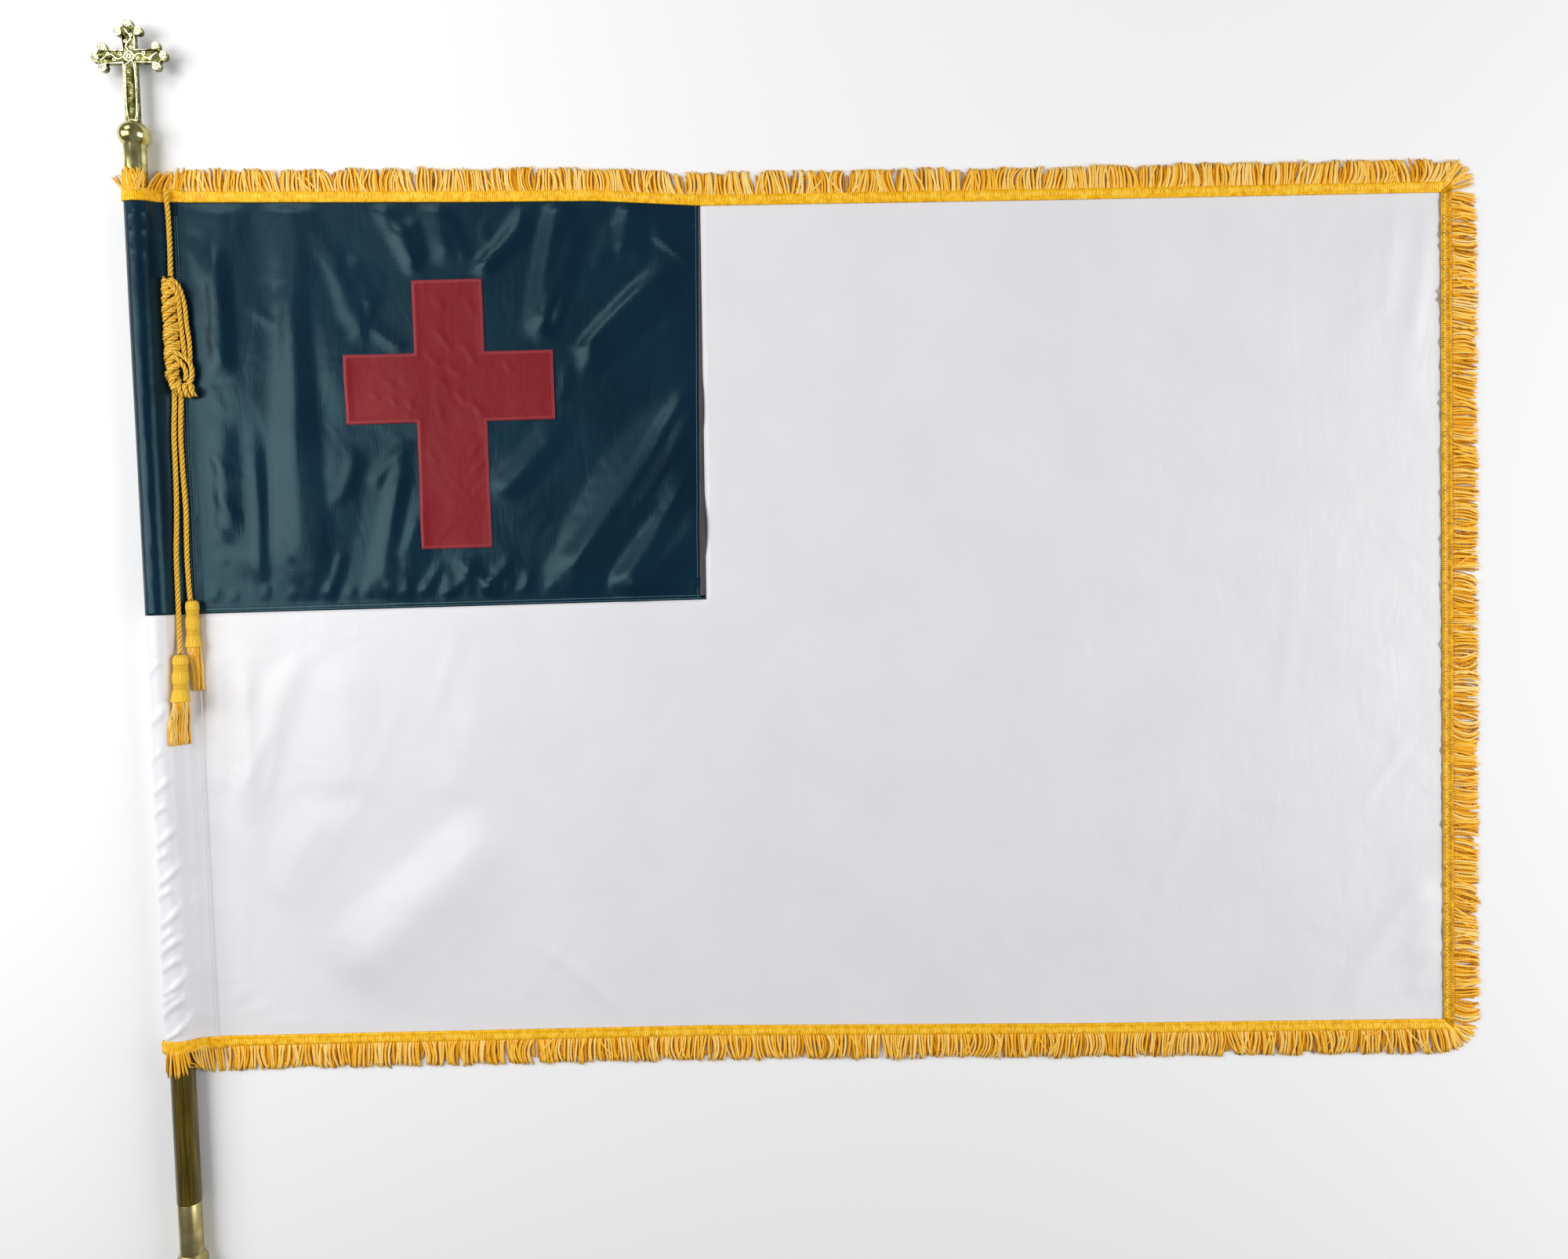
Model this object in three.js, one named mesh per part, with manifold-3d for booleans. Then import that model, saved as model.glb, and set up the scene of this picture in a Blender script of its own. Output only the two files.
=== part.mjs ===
// A fringed nylon parade flag, still on its wooden pole, lying face up on a floor.
// Millimetres. +X runs from the pole to the fly edge, +Y along the pole to the finial and +Z up.
// The origin is on the floor, under the middle of the cloth, whose underside is flat there.
import * as THREE from "three";
import { mergeVertices } from "three/addons/utils/BufferGeometryUtils.js";
import Module from "manifold-3d";

const wasm = await Module();
wasm.setup();

// Pole and brass. The round ends carry the pole clear of the floor.
const POLE_X = -882;
const POLE_RADIUS = 16;
const BALL_RADIUS = 20.5;
const POLE_Z = BALL_RADIUS;
const SPIGOT_RADIUS = 12.3;
const TOP_TUBE_RADIUS = 14.2;
const JOINT_TUBE_RADIUS = 15.3;
const POLE_TOP = 596;
const SPIGOT_LENGTH = 40;
const BALL_Y = 681;
const BALL_HALF_LENGTH = 18.5;
const JOINT_TOP = -793.5;
const COLLAR_TOP = -865.3;
const POLE_END = -888;
const ROUND_SIDES = 26;

// Finial cross, cast flat with three lobes on each free end.
const CROSS_Y = 784.4;
const CROSS_THICK = 8;
const CROSS_ARM_HALF = 9.2;
const CROSS_SIDE_REACH = 51.5;
const CROSS_TOP_REACH = 49.5;
const LOBE_RADIUS = 6.3;
const END_LOBE_RADIUS = 6.8;
const LOBE_OUT = 13;
const LOBE_BACK = 9;
const CROSS_RIM = 2;
const CROSS_RECESS = 0.9;
const BOSS_RADIUS = 8.8;
const LOBE_STEPS = 4;

// Cloth. Each panel's visible edge is the line where the fringe tape starts.
const GAP = 0.3;
const CLOTH = 1.2;
const APPLIQUE = 1;
const FLY_X = 900;
const UNDER_TAPE = 8;
const TOP_EDGE = [
  { x: -838, y: 597 },
  { x: -437, y: 587 },
  { x: -265, y: 584 },
  { x: -126, y: 574 },
  { x: 350, y: 569 },
  { x: 900, y: 565 },
];
const BOTTOM_EDGE = [
  { x: -838, y: -566 },
  { x: -151, y: -572 },
  { x: 406, y: -586 },
  { x: 900, y: -595 },
];
const CANTON_TOP_X = -122;
const CANTON_CORNER = { x: -130.5, y: 32 };
const EDGE_STEP = 48;

// Red cross: its arms' outer ends, and how far the blue reaches in under its sewn rim.
const RED_CROSS = {
  left: -620, right: -331.5, low: 113, high: 482.5, // ends of the arms
  west: -523, east: -426, south: 287.5, north: 383, // sides of the arms
};
const CROSS_SEAM = 7;

// Main folds, as ridges that rise from the flat cloth: a line, a sideways bow, and the half width and height.
const CANTON_FOLDS = [
  { x0: -686, y0: 566, x1: -694, y1: 40, bow: 0, half0: 18, half1: 44, high: 9 },
  { x0: -796, y0: 560, x1: -790, y1: 345, bow: 5, half0: 16, half1: 20, high: 6 },
  { x0: -790, y0: 318, x1: -789, y1: 120, bow: -3, half0: 20, half1: 18, high: 5 },
  { x0: -753, y0: 300, x1: -752, y1: 48, bow: 6, half0: 10, half1: 14, high: 3.5 },
  { x0: -640, y0: 545, x1: -590, y1: 395, bow: 6, half0: 14, half1: 18, high: 4 },
  { x0: -536, y0: 568, x1: -512, y1: 497, bow: 0, half0: 18, half1: 12, high: 4 },
  { x0: -355, y0: 562, x1: -432, y1: 492, bow: 4, half0: 16, half1: 12, high: 4 },
  { x0: -290, y0: 572, x1: -350, y1: 398, bow: 8, half0: 16, half1: 14, high: 5 },
  { x0: -176, y0: 482, x1: -300, y1: 368, bow: -6, half0: 16, half1: 15, high: 6 },
  { x0: -196, y0: 546, x1: -132, y1: 492, bow: 0, half0: 9, half1: 9, high: 4 },
  { x0: -134, y0: 356, x1: -352, y1: 50, bow: 22, half0: 14, half1: 26, high: 6 },
  { x0: -136, y0: 236, x1: -262, y1: 42, bow: 8, half0: 16, half1: 20, high: 6 },
  { x0: -540, y0: 262, x1: -588, y1: 42, bow: 0, half0: 12, half1: 22, high: 5 },
  { x0: -484, y0: 104, x1: -412, y1: 42, bow: 0, half0: 10, half1: 12, high: 3 },
];
const FIELD_FOLDS = [
  { x0: -776, y0: 12, x1: -784, y1: -278, bow: 0, half0: 20, half1: 20, high: 5 },
  { x0: -738, y0: -112, x1: -800, y1: -240, bow: 4, half0: 8, half1: 8, high: 2.5 },
  { x0: -670, y0: 10, x1: -786, y1: -365, bow: -34, half0: 12, half1: 20, high: 5 },
  { x0: -800, y0: -330, x1: -806, y1: -540, bow: 4, half0: 14, half1: 10, high: 3 },
  { x0: -396, y0: -226, x1: -702, y1: -492, bow: 8, half0: 26, half1: 30, high: 7 },
  { x0: -400, y0: -436, x1: -258, y1: -560, bow: 6, half0: 10, half1: 12, high: 3 },
  { x0: -96, y0: 556, x1: -104, y1: 330, bow: 4, half0: 10, half1: 12, high: 3 },
  { x0: -104, y0: 300, x1: -108, y1: 60, bow: -4, half0: 12, half1: 12, high: 3.5 },
  { x0: 748, y0: -578, x1: 878, y1: -392, bow: 6, half0: 20, half1: 22, high: 5 },
  { x0: 868, y0: 548, x1: 846, y1: 350, bow: 4, half0: 12, half1: 16, high: 4 },
  { x0: 816, y0: 548, x1: 800, y1: 388, bow: 3, half0: 12, half1: 14, high: 3.5 },
  { x0: 690, y0: 520, x1: 682, y1: 330, bow: 0, half0: 18, half1: 22, high: 3 },
];

// Pole sleeve, in section: its outer and inner face beside the pole, from the seam up and over.
const SLEEVE_RADIUS = POLE_RADIUS + 2 * GAP + CLOTH;
const SLEEVE_FRONT = [
  { x: 44, z: 2.7, inX: 36, inZ: 2.5 },
  { x: 38, z: 3.2, inX: 34.6, inZ: 2.9 },
  { x: 34, z: 4.6, inX: 33, inZ: 3.5 },
  { x: 28, z: 8, inX: 27.2, inZ: 7.1 },
  { x: 23, z: 12.5, inX: 22, inZ: 11.8 },
  { x: 19.5, z: 18, inX: 18.4, inZ: 17.5 },
];
const SLEEVE_ARC = { from: 12, to: 188, steps: 12 };
const SLEEVE_BACK = [
  { x: -17.9, z: 10, inX: -16.7, inZ: 10 },
  { x: -16.8, z: 3, inX: -15.7, inZ: 3.4 },
  { x: -12, z: 0, inX: -11.8, inZ: CLOTH },
  { x: 12, z: 0, inX: 12, inZ: CLOTH },
  { x: 44, z: 0, inX: 36, inZ: CLOTH },
];
const CANTON_SLEEVE = [
  { y: 32 + GAP / 2, loose: 0 },
  { y: 150, loose: 1 },
  { y: 300, loose: 0 },
  { y: 450, loose: 1.5 },
  { y: 605, loose: 0.5 },
];
const FIELD_SLEEVE = [
  { y: -574, loose: 6 },
  { y: -480, loose: 5 },
  { y: -330, loose: 2.5 },
  { y: -200, loose: 3 },
  { y: -90, loose: 0.5 },
  { y: 32 - GAP / 2, loose: 0 },
];
const SLEEVE_PULL = 8; // how much further in the sleeve's end lies on top of the pole

// Gold fringe: a tape over the cloth's edge and locks of strands that lie on the floor.
const TAPE_WIDE = 16.5;
const SLEEVE_TAPE_END = POLE_X + 53;
const TAPE = 1.2;
const LOCK_LENGTH = 33;
const LOCK_PITCH = 25;
const LOCK_HIGH = 4.2;

// Gold rope of three strands: the routes that it lies in, on the sleeve beside the pole.
const ROPE_RADIUS = 3.4;
const ROPE_GROOVE = 0.75;
const ROPE_LAY = 20.7;
const ROPE_RINGS = 5; // rings to a turn of its lay
const UPPER_ROUTE = [
  [-848.4, 612, 10.5], [-848.3, 605, 11], [-848.2, 598, 11], [-848.1, 591, 10.5], [-848, 583, 9.7],
  [-848, 573, 9.1], [-848, 560, 8.9], [-848, 548, 8.9], [-848, 536, 8.9], [-848.2, 524, 9], [-848.4, 512, 9.2],
  [-848.6, 502, 9.3], [-848.8, 494.5, 9.4],
];
const LEFT_ROUTE = [
  [-851.3, 326.5, 10.9], [-852, 311, 11.3], [-852.8, 298, 11.9], [-853.6, 274, 12.6], [-853.7, 252, 12.8],
  [-853.8, 230, 12.9], [-854, 208, 13], [-854.4, 185, 13.4], [-855.3, 155, 14.4], [-856.8, 120, 16],
  [-857.2, 85, 16.6], [-857.4, 54, 16.8], [-857.4, 14, 17.9], [-856.2, -4, 20.4], [-854.4, -21.8, 23.6],
];
const RIGHT_ROUTE = [
  [-843.8, 326.3, 7.8], [-845, 311, 7.8], [-845.6, 298, 8], [-846.5, 274, 8.5], [-846.4, 252, 8.4],
  [-846.2, 228, 8.2], [-845.4, 200, 8], [-844.9, 175, 7.8], [-845.4, 154, 8], [-846, 133, 8.1],
  [-846.4, 109, 8.3], [-846.2, 90, 8.3], [-845.6, 70, 8.5], [-844.2, 51.6, 9.6],
];

// The rope's bundle, in section along its length, and the wraps wound round it.
const KNOT_ROWS = [
  { y: 494, left: -853, right: -843.6, top: 14 },
  { y: 486, left: -857.4, right: -839, top: 20 },
  { y: 470, left: -858.6, right: -835, top: 22.5 },
  { y: 430, left: -858.2, right: -830.6, top: 22.5 },
  { y: 408, left: -858, right: -827.6, top: 21.5 },
  { y: 384, left: -857.8, right: -828, top: 20.5 },
  { y: 366, left: -857.4, right: -823.8, top: 19 },
  { y: 350, left: -856.6, right: -820.4, top: 18.5 },
  { y: 338, left: -855, right: -819.6, top: 17.5 },
  { y: 330, left: -853.8, right: -823, top: 16 },
  { y: 327, left: -852.6, right: -828, top: 14.5 },
];
const KNOT_SIDES = 10;
const KNOT_STEP = 4;
const WRAP_PITCH = 12;
const WRAP_HIGH = 0.9;
const EYE = { x: -839.6, y: 360, radius: 4.2 };

// Tassels: the bound head's half width down its length, and where the skirt's strands end.
const TASSEL_HEAD = [
  { at: 0, half: 7.5 },
  { at: 2.5, half: 9.8 },
  { at: 13, half: 10.2 },
  { at: 15, half: 9.2 },
  { at: 21, half: 9.2 },
  { at: 23, half: 10.3 },
  { at: 39, half: 10.1 },
  { at: 41, half: 9.2 },
  { at: 47, half: 9.2 },
  { at: 50, half: 10.4 },
  { at: 64, half: 12 },
];
const TASSEL_SIDES = 12;
const SKIRT = 61;
const SKIRT_LAYERS = [
  { strands: 9, share: 1, lift: 0.1, from: 205, to: 335 },
  { strands: 6, share: 0.72, lift: 3.2, from: 160, to: 20 },
];
const TASSELS = {
  left: { across: 28.4, y: -23, z: 24.3, leanX: 0, leanZ: 0.095, size: 1, skirt: { from: 12.4, to: 28.5 } },
  right: { across: 41.4, y: 51, z: 11.2, leanX: -0.02, leanZ: 0.01, size: 0.88, skirt: { from: 33, to: 48 } },
};

const COLOURS = {
  blue: 0x1f3d50, white: 0xdedde0, red: 0x96333a, gold: 0xf2b418,
  rope: 0xf3b530, tassel: 0xf8bc1e, wood: 0x4a3c12, brass: 0xb8a050, knurl: 0x9a9060,
};

const mix = (a, b, t) => a + (b - a) * t;
const turned = (degrees) => THREE.MathUtils.degToRad(degrees);

// A closed mesh as a solid, turned right side out.
function solidOf(geometry) {
  const bare = geometry.clone();
  bare.deleteAttribute("normal");
  bare.deleteAttribute("uv");
  const merged = mergeVertices(bare, 1e-4);
  const corners = merged.index.array;
  const whole = [];
  for (let i = 0; i < corners.length; i += 3) {
    const [a, b, c] = corners.slice(i, i + 3);
    if (a !== b && b !== c && c !== a) whole.push(a, b, c);
  }
  const triVerts = new Uint32Array(whole);
  const vertProperties = merged.attributes.position.array;
  const make = () => new wasm.Manifold(new wasm.Mesh({ numProp: 3, vertProperties, triVerts }));
  const made = make();
  if (made.volume() > 0) return made;
  for (let i = 0; i < triVerts.length; i += 3) {
    [triVerts[i + 1], triVerts[i + 2]] = [triVerts[i + 2], triVerts[i + 1]];
  }
  return make();
}

// A solid's faces as geometry for a mesh.
function geometryOf(solid) {
  const { numProp, vertProperties, triVerts } = solid.getMesh();
  const xyz = new Float32Array((vertProperties.length / numProp) * 3);
  for (let i = 0; i < xyz.length / 3; i += 1) {
    xyz.set(vertProperties.subarray(i * numProp, i * numProp + 3), i * 3);
  }
  const geometry = new THREE.BufferGeometry();
  geometry.setAttribute("position", new THREE.BufferAttribute(xyz, 3));
  geometry.setIndex(new THREE.BufferAttribute(triVerts, 1));
  geometry.computeVertexNormals();
  return geometry;
}

function fromFaces(points, faces) {
  const geometry = new THREE.BufferGeometry();
  geometry.setAttribute("position", new THREE.Float32BufferAttribute(points.flat(), 3));
  geometry.setIndex(faces.flat());
  return geometry;
}

// A skin over rings of equal length, closed with a fan at each end.
function loft(rings) {
  const sides = rings[0].length;
  const points = rings.flat();
  const faces = [];
  for (let ring = 0; ring + 1 < rings.length; ring += 1) {
    for (let i = 0; i < sides; i += 1) {
      const a = ring * sides + i;
      const b = ring * sides + ((i + 1) % sides);
      faces.push([a, b, b + sides], [a, b + sides, a + sides]);
    }
  }
  const last = (rings.length - 1) * sides;
  for (let i = 1; i + 1 < sides; i += 1) {
    faces.push([0, i + 1, i], [last, last + i, last + i + 1]);
  }
  return solidOf(fromFaces(points, faces));
}

function mesh(name, shape, colour, roughness, metalness = 0) {
  const geometry = geometryOf(shape.asOriginal().simplify(0.01));
  const material = new THREE.MeshStandardMaterial({ color: colour, roughness, metalness });
  const made = new THREE.Mesh(geometry, material);
  made.name = name;
  return made;
}

function edgeY(table, x) {
  const after = table.findIndex((row) => row.x >= x);
  if (after < 0) return table[table.length - 1].y;
  if (after === 0) return table[0].y;
  const [a, b] = [table[after - 1], table[after]];
  return mix(a.y, b.y, (x - a.x) / (b.x - a.x));
}

// Where a point lies on a fold: its share of the length, and its distance across as a share of the half width.
function onFold(fold, x, y) {
  const long = Math.hypot(fold.x1 - fold.x0, fold.y1 - fold.y0);
  const ux = (fold.x1 - fold.x0) / long;
  const uy = (fold.y1 - fold.y0) / long;
  const t = ((x - fold.x0) * ux + (y - fold.y0) * uy) / long;
  const across = (x - fold.x0) * -uy + (y - fold.y0) * ux - fold.bow * 4 * t * (1 - t);
  return { t, across: across / mix(fold.half0, fold.half1, t) };
}

function foldPoint(fold, t, across) {
  const long = Math.hypot(fold.x1 - fold.x0, fold.y1 - fold.y0);
  const ux = (fold.x1 - fold.x0) / long;
  const uy = (fold.y1 - fold.y0) / long;
  const off = across * mix(fold.half0, fold.half1, t) + fold.bow * 4 * t * (1 - t);
  return { x: mix(fold.x0, fold.x1, t) - uy * off, y: mix(fold.y0, fold.y1, t) + ux * off };
}

// How high the cloth's underside stands off the floor: soft ridges that fade at their ends.
function clothRise(folds, x, y) {
  let rise = 0;
  for (const fold of folds) {
    const { t, across } = onFold(fold, x, y);
    if (t <= 0 || t >= 1 || Math.abs(across) >= 1) continue;
    const ends = THREE.MathUtils.smoothstep(t, 0, 0.3) * THREE.MathUtils.smoothstep(1 - t, 0, 0.18);
    rise += fold.high * ends * 0.5 * (1 + Math.cos(Math.PI * across));
  }
  return rise;
}

// Delaunay triangles over points, made by adding the points one by one.
function triangulate(points) {
  const far = 1e6;
  const count = points.length;
  const all = [...points, { x: -far, y: -far }, { x: far, y: -far }, { x: 0, y: far }];
  const circled = (a, b, c) => {
    const [p, q, r] = [all[a], all[b], all[c]];
    const [bx, by, cx, cy] = [q.x - p.x, q.y - p.y, r.x - p.x, r.y - p.y];
    const double = 2 * (bx * cy - by * cx);
    const ox = (cy * (bx * bx + by * by) - by * (cx * cx + cy * cy)) / double;
    const oy = (bx * (cx * cx + cy * cy) - cx * (bx * bx + by * by)) / double;
    return { corners: [a, b, c], x: p.x + ox, y: p.y + oy, radius: Math.hypot(ox, oy) };
  };
  let triangles = [circled(count, count + 1, count + 2)];
  points.forEach((point, i) => {
    const kept = [];
    const rim = new Map();
    for (const triangle of triangles) {
      if (Math.hypot(point.x - triangle.x, point.y - triangle.y) >= triangle.radius) {
        kept.push(triangle);
        continue;
      }
      const [a, b, c] = triangle.corners;
      for (const [from, to] of [[a, b], [b, c], [c, a]]) {
        if (!rim.delete(`${to},${from}`)) rim.set(`${from},${to}`, [from, to]);
      }
    }
    triangles = [...kept, ...[...rim.values()].map(([from, to]) => circled(from, to, i))];
  });
  return triangles.map((triangle) => triangle.corners).filter((corners) => corners.every((i) => i < count));
}

function inside(outline, x, y) {
  let odd = false;
  outline.forEach((a, i) => {
    const b = outline[(i + 1) % outline.length];
    if (a.y > y !== b.y > y && x < mix(a.x, b.x, (y - a.y) / (b.y - a.y))) odd = !odd;
  });
  return odd;
}

// Points at even steps round a closed outline.
function stepped(outline, step) {
  return outline.flatMap((a, i) => {
    const b = outline[(i + 1) % outline.length];
    const count = Math.max(1, Math.round(Math.hypot(b.x - a.x, b.y - a.y) / step));
    return Array.from({ length: count }, (_, k) => {
      return { x: mix(a.x, b.x, k / count), y: mix(a.y, b.y, k / count) };
    });
  });
}

const FOLD_ACROSS = [0, -0.5, 0.5, -1, 1];
const FOLD_STEP = 52;
const POINT_APART = 8;
const RIM_APART = 14;

// A sheet of cloth inside an outline, with an optional hole, that follows the folds.
function sheet(outline, hole, folds, lift, thick) {
  const rim = [...stepped(outline, EDGE_STEP), ...(hole ? stepped(hole, EDGE_STEP) : [])];
  const points = [...rim];
  const within = (p) => inside(outline, p.x, p.y) && !(hole && inside(hole, p.x, p.y));
  const clear = (p, apart) => points.every((q) => Math.hypot(p.x - q.x, p.y - q.y) > apart);
  const offRim = (p) => rim.every((q) => Math.hypot(p.x - q.x, p.y - q.y) > RIM_APART);
  for (const across of FOLD_ACROSS) {
    for (const fold of folds) {
      const count = Math.max(4, Math.round(Math.hypot(fold.x1 - fold.x0, fold.y1 - fold.y0) / FOLD_STEP));
      for (let k = 0; k <= count; k += 1) {
        const p = foldPoint(fold, k / count, across);
        if (within(p) && offRim(p) && clear(p, POINT_APART)) points.push(p);
      }
    }
  }
  const flat = (corner) => ({ x: points[corner].x, y: points[corner].y });
  const faces = triangulate(points).filter((corners) => {
    const [a, b, c] = corners.map(flat);
    return within({ x: (a.x + b.x + c.x) / 3, y: (a.y + b.y + c.y) / 3 });
  });
  const count = points.length;
  const under = points.map((p) => [p.x, p.y, clothRise(folds, p.x, p.y) + lift]);
  const over = under.map(([x, y, z]) => [x, y, z + thick]);
  const used = new Set(faces.flatMap(([a, b, c]) => [`${a},${b}`, `${b},${c}`, `${c},${a}`]));
  const skin = faces.flatMap(([a, b, c]) => [[a + count, b + count, c + count], [a, c, b]]);
  for (const [a, b, c] of faces) {
    for (const [from, to] of [[a, b], [b, c], [c, a]]) {
      if (used.has(`${to},${from}`)) continue;
      skin.push([from, to, to + count], [from, to + count, from + count]);
    }
  }
  return solidOf(fromFaces([...under, ...over], skin));
}

// The sleeve's section, outer and inner point by point, as it goes from the seam over the pole and back.
function sleeveSection() {
  const arc = Array.from({ length: SLEEVE_ARC.steps }, (_, k) => {
    const angle = turned(mix(SLEEVE_ARC.from, SLEEVE_ARC.to, k / (SLEEVE_ARC.steps - 1)));
    const inner = SLEEVE_RADIUS - CLOTH;
    return {
      x: SLEEVE_RADIUS * Math.cos(angle), z: POLE_Z + SLEEVE_RADIUS * Math.sin(angle),
      inX: inner * Math.cos(angle), inZ: POLE_Z + inner * Math.sin(angle),
    };
  });
  return [...SLEEVE_FRONT, ...arc, ...SLEEVE_BACK];
}

// The height of the sleeve's and the field's upper face, at a distance from the pole's axis.
function clothTop(across) {
  const line = [{ x: SLEEVE_FRONT[0].x + 8, z: CLOTH }, { x: SLEEVE_FRONT[0].x + 2, z: SLEEVE_FRONT[0].z }];
  line.push(...sleeveSection().slice(0, SLEEVE_FRONT.length + SLEEVE_ARC.steps));
  const after = line.findIndex((row) => row.x <= across);
  if (after === 0) return CLOTH;
  const [a, b] = [line[after - 1], line[after]];
  return mix(a.z, b.z, (across - a.x) / (b.x - a.x));
}

// How much further in the sleeve's end lies, the higher it is on the pole.
function pulledIn(across, z) {
  return across > 36 ? 0 : (SLEEVE_PULL * z) / (2 * POLE_Z);
}

// How far the sleeve's outer side hangs away from the pole, where it is loose.
function slack(across, z, loose) {
  return across < -10 && z > 0.5 ? loose * Math.min(1, (POLE_Z + SLEEVE_RADIUS - z) / 10) : 0;
}

// A sleeve that is open at both ends, and pulled in where it goes over the pole.
function sleeve(stations, pulledEnd) {
  const section = sleeveSection();
  const sides = section.length;
  const points = stations.flatMap(({ y, loose }, k) => {
    const place = (x, z) => [
      POLE_X + x - slack(x, z, loose),
      y - (k === pulledEnd ? Math.sign(y) * pulledIn(x, z) : 0),
      z,
    ];
    const outer = section.map((p) => place(p.x, p.z));
    const inner = section.map((p) => place(p.inX, p.inZ));
    return [...outer, ...inner];
  });
  const faces = [];
  const last = (stations.length - 1) * 2 * sides;
  for (let i = 0; i < sides; i += 1) {
    const j = (i + 1) % sides;
    for (let k = 0; k + 1 < stations.length; k += 1) {
      const [here, next] = [k * 2 * sides, (k + 1) * 2 * sides];
      faces.push([here + i, here + j, next + j], [here + i, next + j, next + i]);
      faces.push([here + sides + i, next + sides + j, here + sides + j]);
      faces.push([here + sides + i, next + sides + i, next + sides + j]);
    }
    faces.push([i, sides + j, j], [i, sides + i, sides + j]);
    faces.push([last + i, last + j, last + sides + j], [last + i, last + sides + j, last + sides + i]);
  }
  return solidOf(fromFaces(points, faces));
}

const SEAM_X = POLE_X + 44 + GAP; // the panels' edge, at the sleeve's seam

function cantonOutline() {
  const edge = TOP_EDGE.filter((row) => row.x > SEAM_X && row.x < CANTON_TOP_X);
  const top = edge.map((row) => ({ x: row.x, y: row.y + UNDER_TAPE }));
  return [
    { x: SEAM_X, y: CANTON_CORNER.y + GAP / 2 },
    { x: CANTON_CORNER.x - GAP / 2, y: CANTON_CORNER.y + GAP / 2 },
    { x: CANTON_TOP_X - GAP / 2, y: edgeY(TOP_EDGE, CANTON_TOP_X) + UNDER_TAPE },
    ...top.reverse(),
    { x: SEAM_X, y: TOP_EDGE[0].y + UNDER_TAPE },
  ];
}

function fieldOutline() {
  const fly = FLY_X + UNDER_TAPE;
  const low = BOTTOM_EDGE.filter((row) => row.x > SEAM_X + 10 && row.x < FLY_X);
  const high = TOP_EDGE.filter((row) => row.x > CANTON_TOP_X && row.x < FLY_X);
  return [
    { x: SEAM_X, y: BOTTOM_EDGE[0].y - UNDER_TAPE },
    ...low.map((row) => ({ x: row.x, y: row.y - UNDER_TAPE })),
    { x: fly, y: edgeY(BOTTOM_EDGE, FLY_X) - UNDER_TAPE },
    { x: fly, y: edgeY(TOP_EDGE, FLY_X) + UNDER_TAPE },
    ...high.map((row) => ({ x: row.x, y: row.y + UNDER_TAPE })).reverse(),
    { x: CANTON_TOP_X + GAP / 2, y: edgeY(TOP_EDGE, CANTON_TOP_X) + UNDER_TAPE },
    { x: CANTON_CORNER.x + GAP / 2, y: CANTON_CORNER.y - GAP / 2 },
    { x: SEAM_X, y: CANTON_CORNER.y - GAP / 2 },
  ];
}

// The red cross's outline, drawn in by a distance all round.
function crossOutline(inset) {
  const { left, right, low, high, west, east, south, north } = RED_CROSS;
  const corners = [
    [west, low, 1, 1], [east, low, -1, 1], [east, south, -1, 1], [right, south, -1, 1],
    [right, north, -1, -1], [east, north, -1, -1], [east, high, -1, -1], [west, high, 1, -1],
    [west, north, 1, -1], [left, north, 1, -1], [left, south, 1, 1], [west, south, 1, 1],
  ];
  return corners.map(([x, y, inX, inY]) => ({ x: x + inX * inset, y: y + inY * inset }));
}

function canton() {
  return sheet(cantonOutline(), crossOutline(CROSS_SEAM), CANTON_FOLDS, 0, CLOTH);
}

function whiteField() {
  return sheet(fieldOutline(), null, FIELD_FOLDS, 0, CLOTH);
}

// The red cloth fills the hole in the canton, and its rim lies on the blue.
function redCross() {
  const rim = sheet(crossOutline(0), null, [], CLOTH + GAP, APPLIQUE);
  const filling = sheet(crossOutline(CROSS_SEAM + GAP), null, [], 0, CLOTH + GAP + APPLIQUE / 2);
  return rim.add(filling);
}

// The line of a fringe tape's inner edge, on the cloth's upper face: over the sleeve, then along the edge.
function hoistStations(edge, side, loose) {
  const over = sleeveSection().slice(0, SLEEVE_FRONT.length + SLEEVE_ARC.steps).reverse();
  const stations = over.map((p, i) => {
    const before = over[Math.max(0, i - 1)];
    const after = over[Math.min(over.length - 1, i + 1)];
    const normal = new THREE.Vector2(before.z - after.z, after.x - before.x).normalize();
    const pull = pulledIn(p.x, p.z);
    const x = POLE_X + p.x - slack(p.x, p.z, loose);
    return { x, y: edge[0].y - side * pull, z: p.z, nx: normal.x, nz: normal.y, along: 0 };
  });
  stations[stations.length - 1].x += 1;
  return [...stations, { x: SLEEVE_TAPE_END - GAP / 2, y: edge[0].y, z: CLOTH, nx: 0, nz: 1, along: 0 }];
}

// Tape in section: out from its inner edge, and up from the cloth's upper face. It steps down past the cloth.
const TAPE_SECTION = [
  { out: 0, up: GAP },
  { out: 0, up: GAP + TAPE },
  { out: TAPE_WIDE, up: TAPE },
  { out: TAPE_WIDE, up: -CLOTH },
  { out: UNDER_TAPE + 2 * GAP, up: -CLOTH },
  { out: UNDER_TAPE + 2 * GAP, up: GAP },
];

// A tape along stations. Each has its outward direction, and along skews it into a mitred corner.
function tape(stations, outX, outY) {
  return loft(stations.map((s) => TAPE_SECTION.map(({ out, up }) => [
    s.x + outX * out + outY * out * s.along + s.nx * up,
    s.y + outY * out + outX * out * s.along,
    s.z + s.nz * up,
  ])));
}

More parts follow.
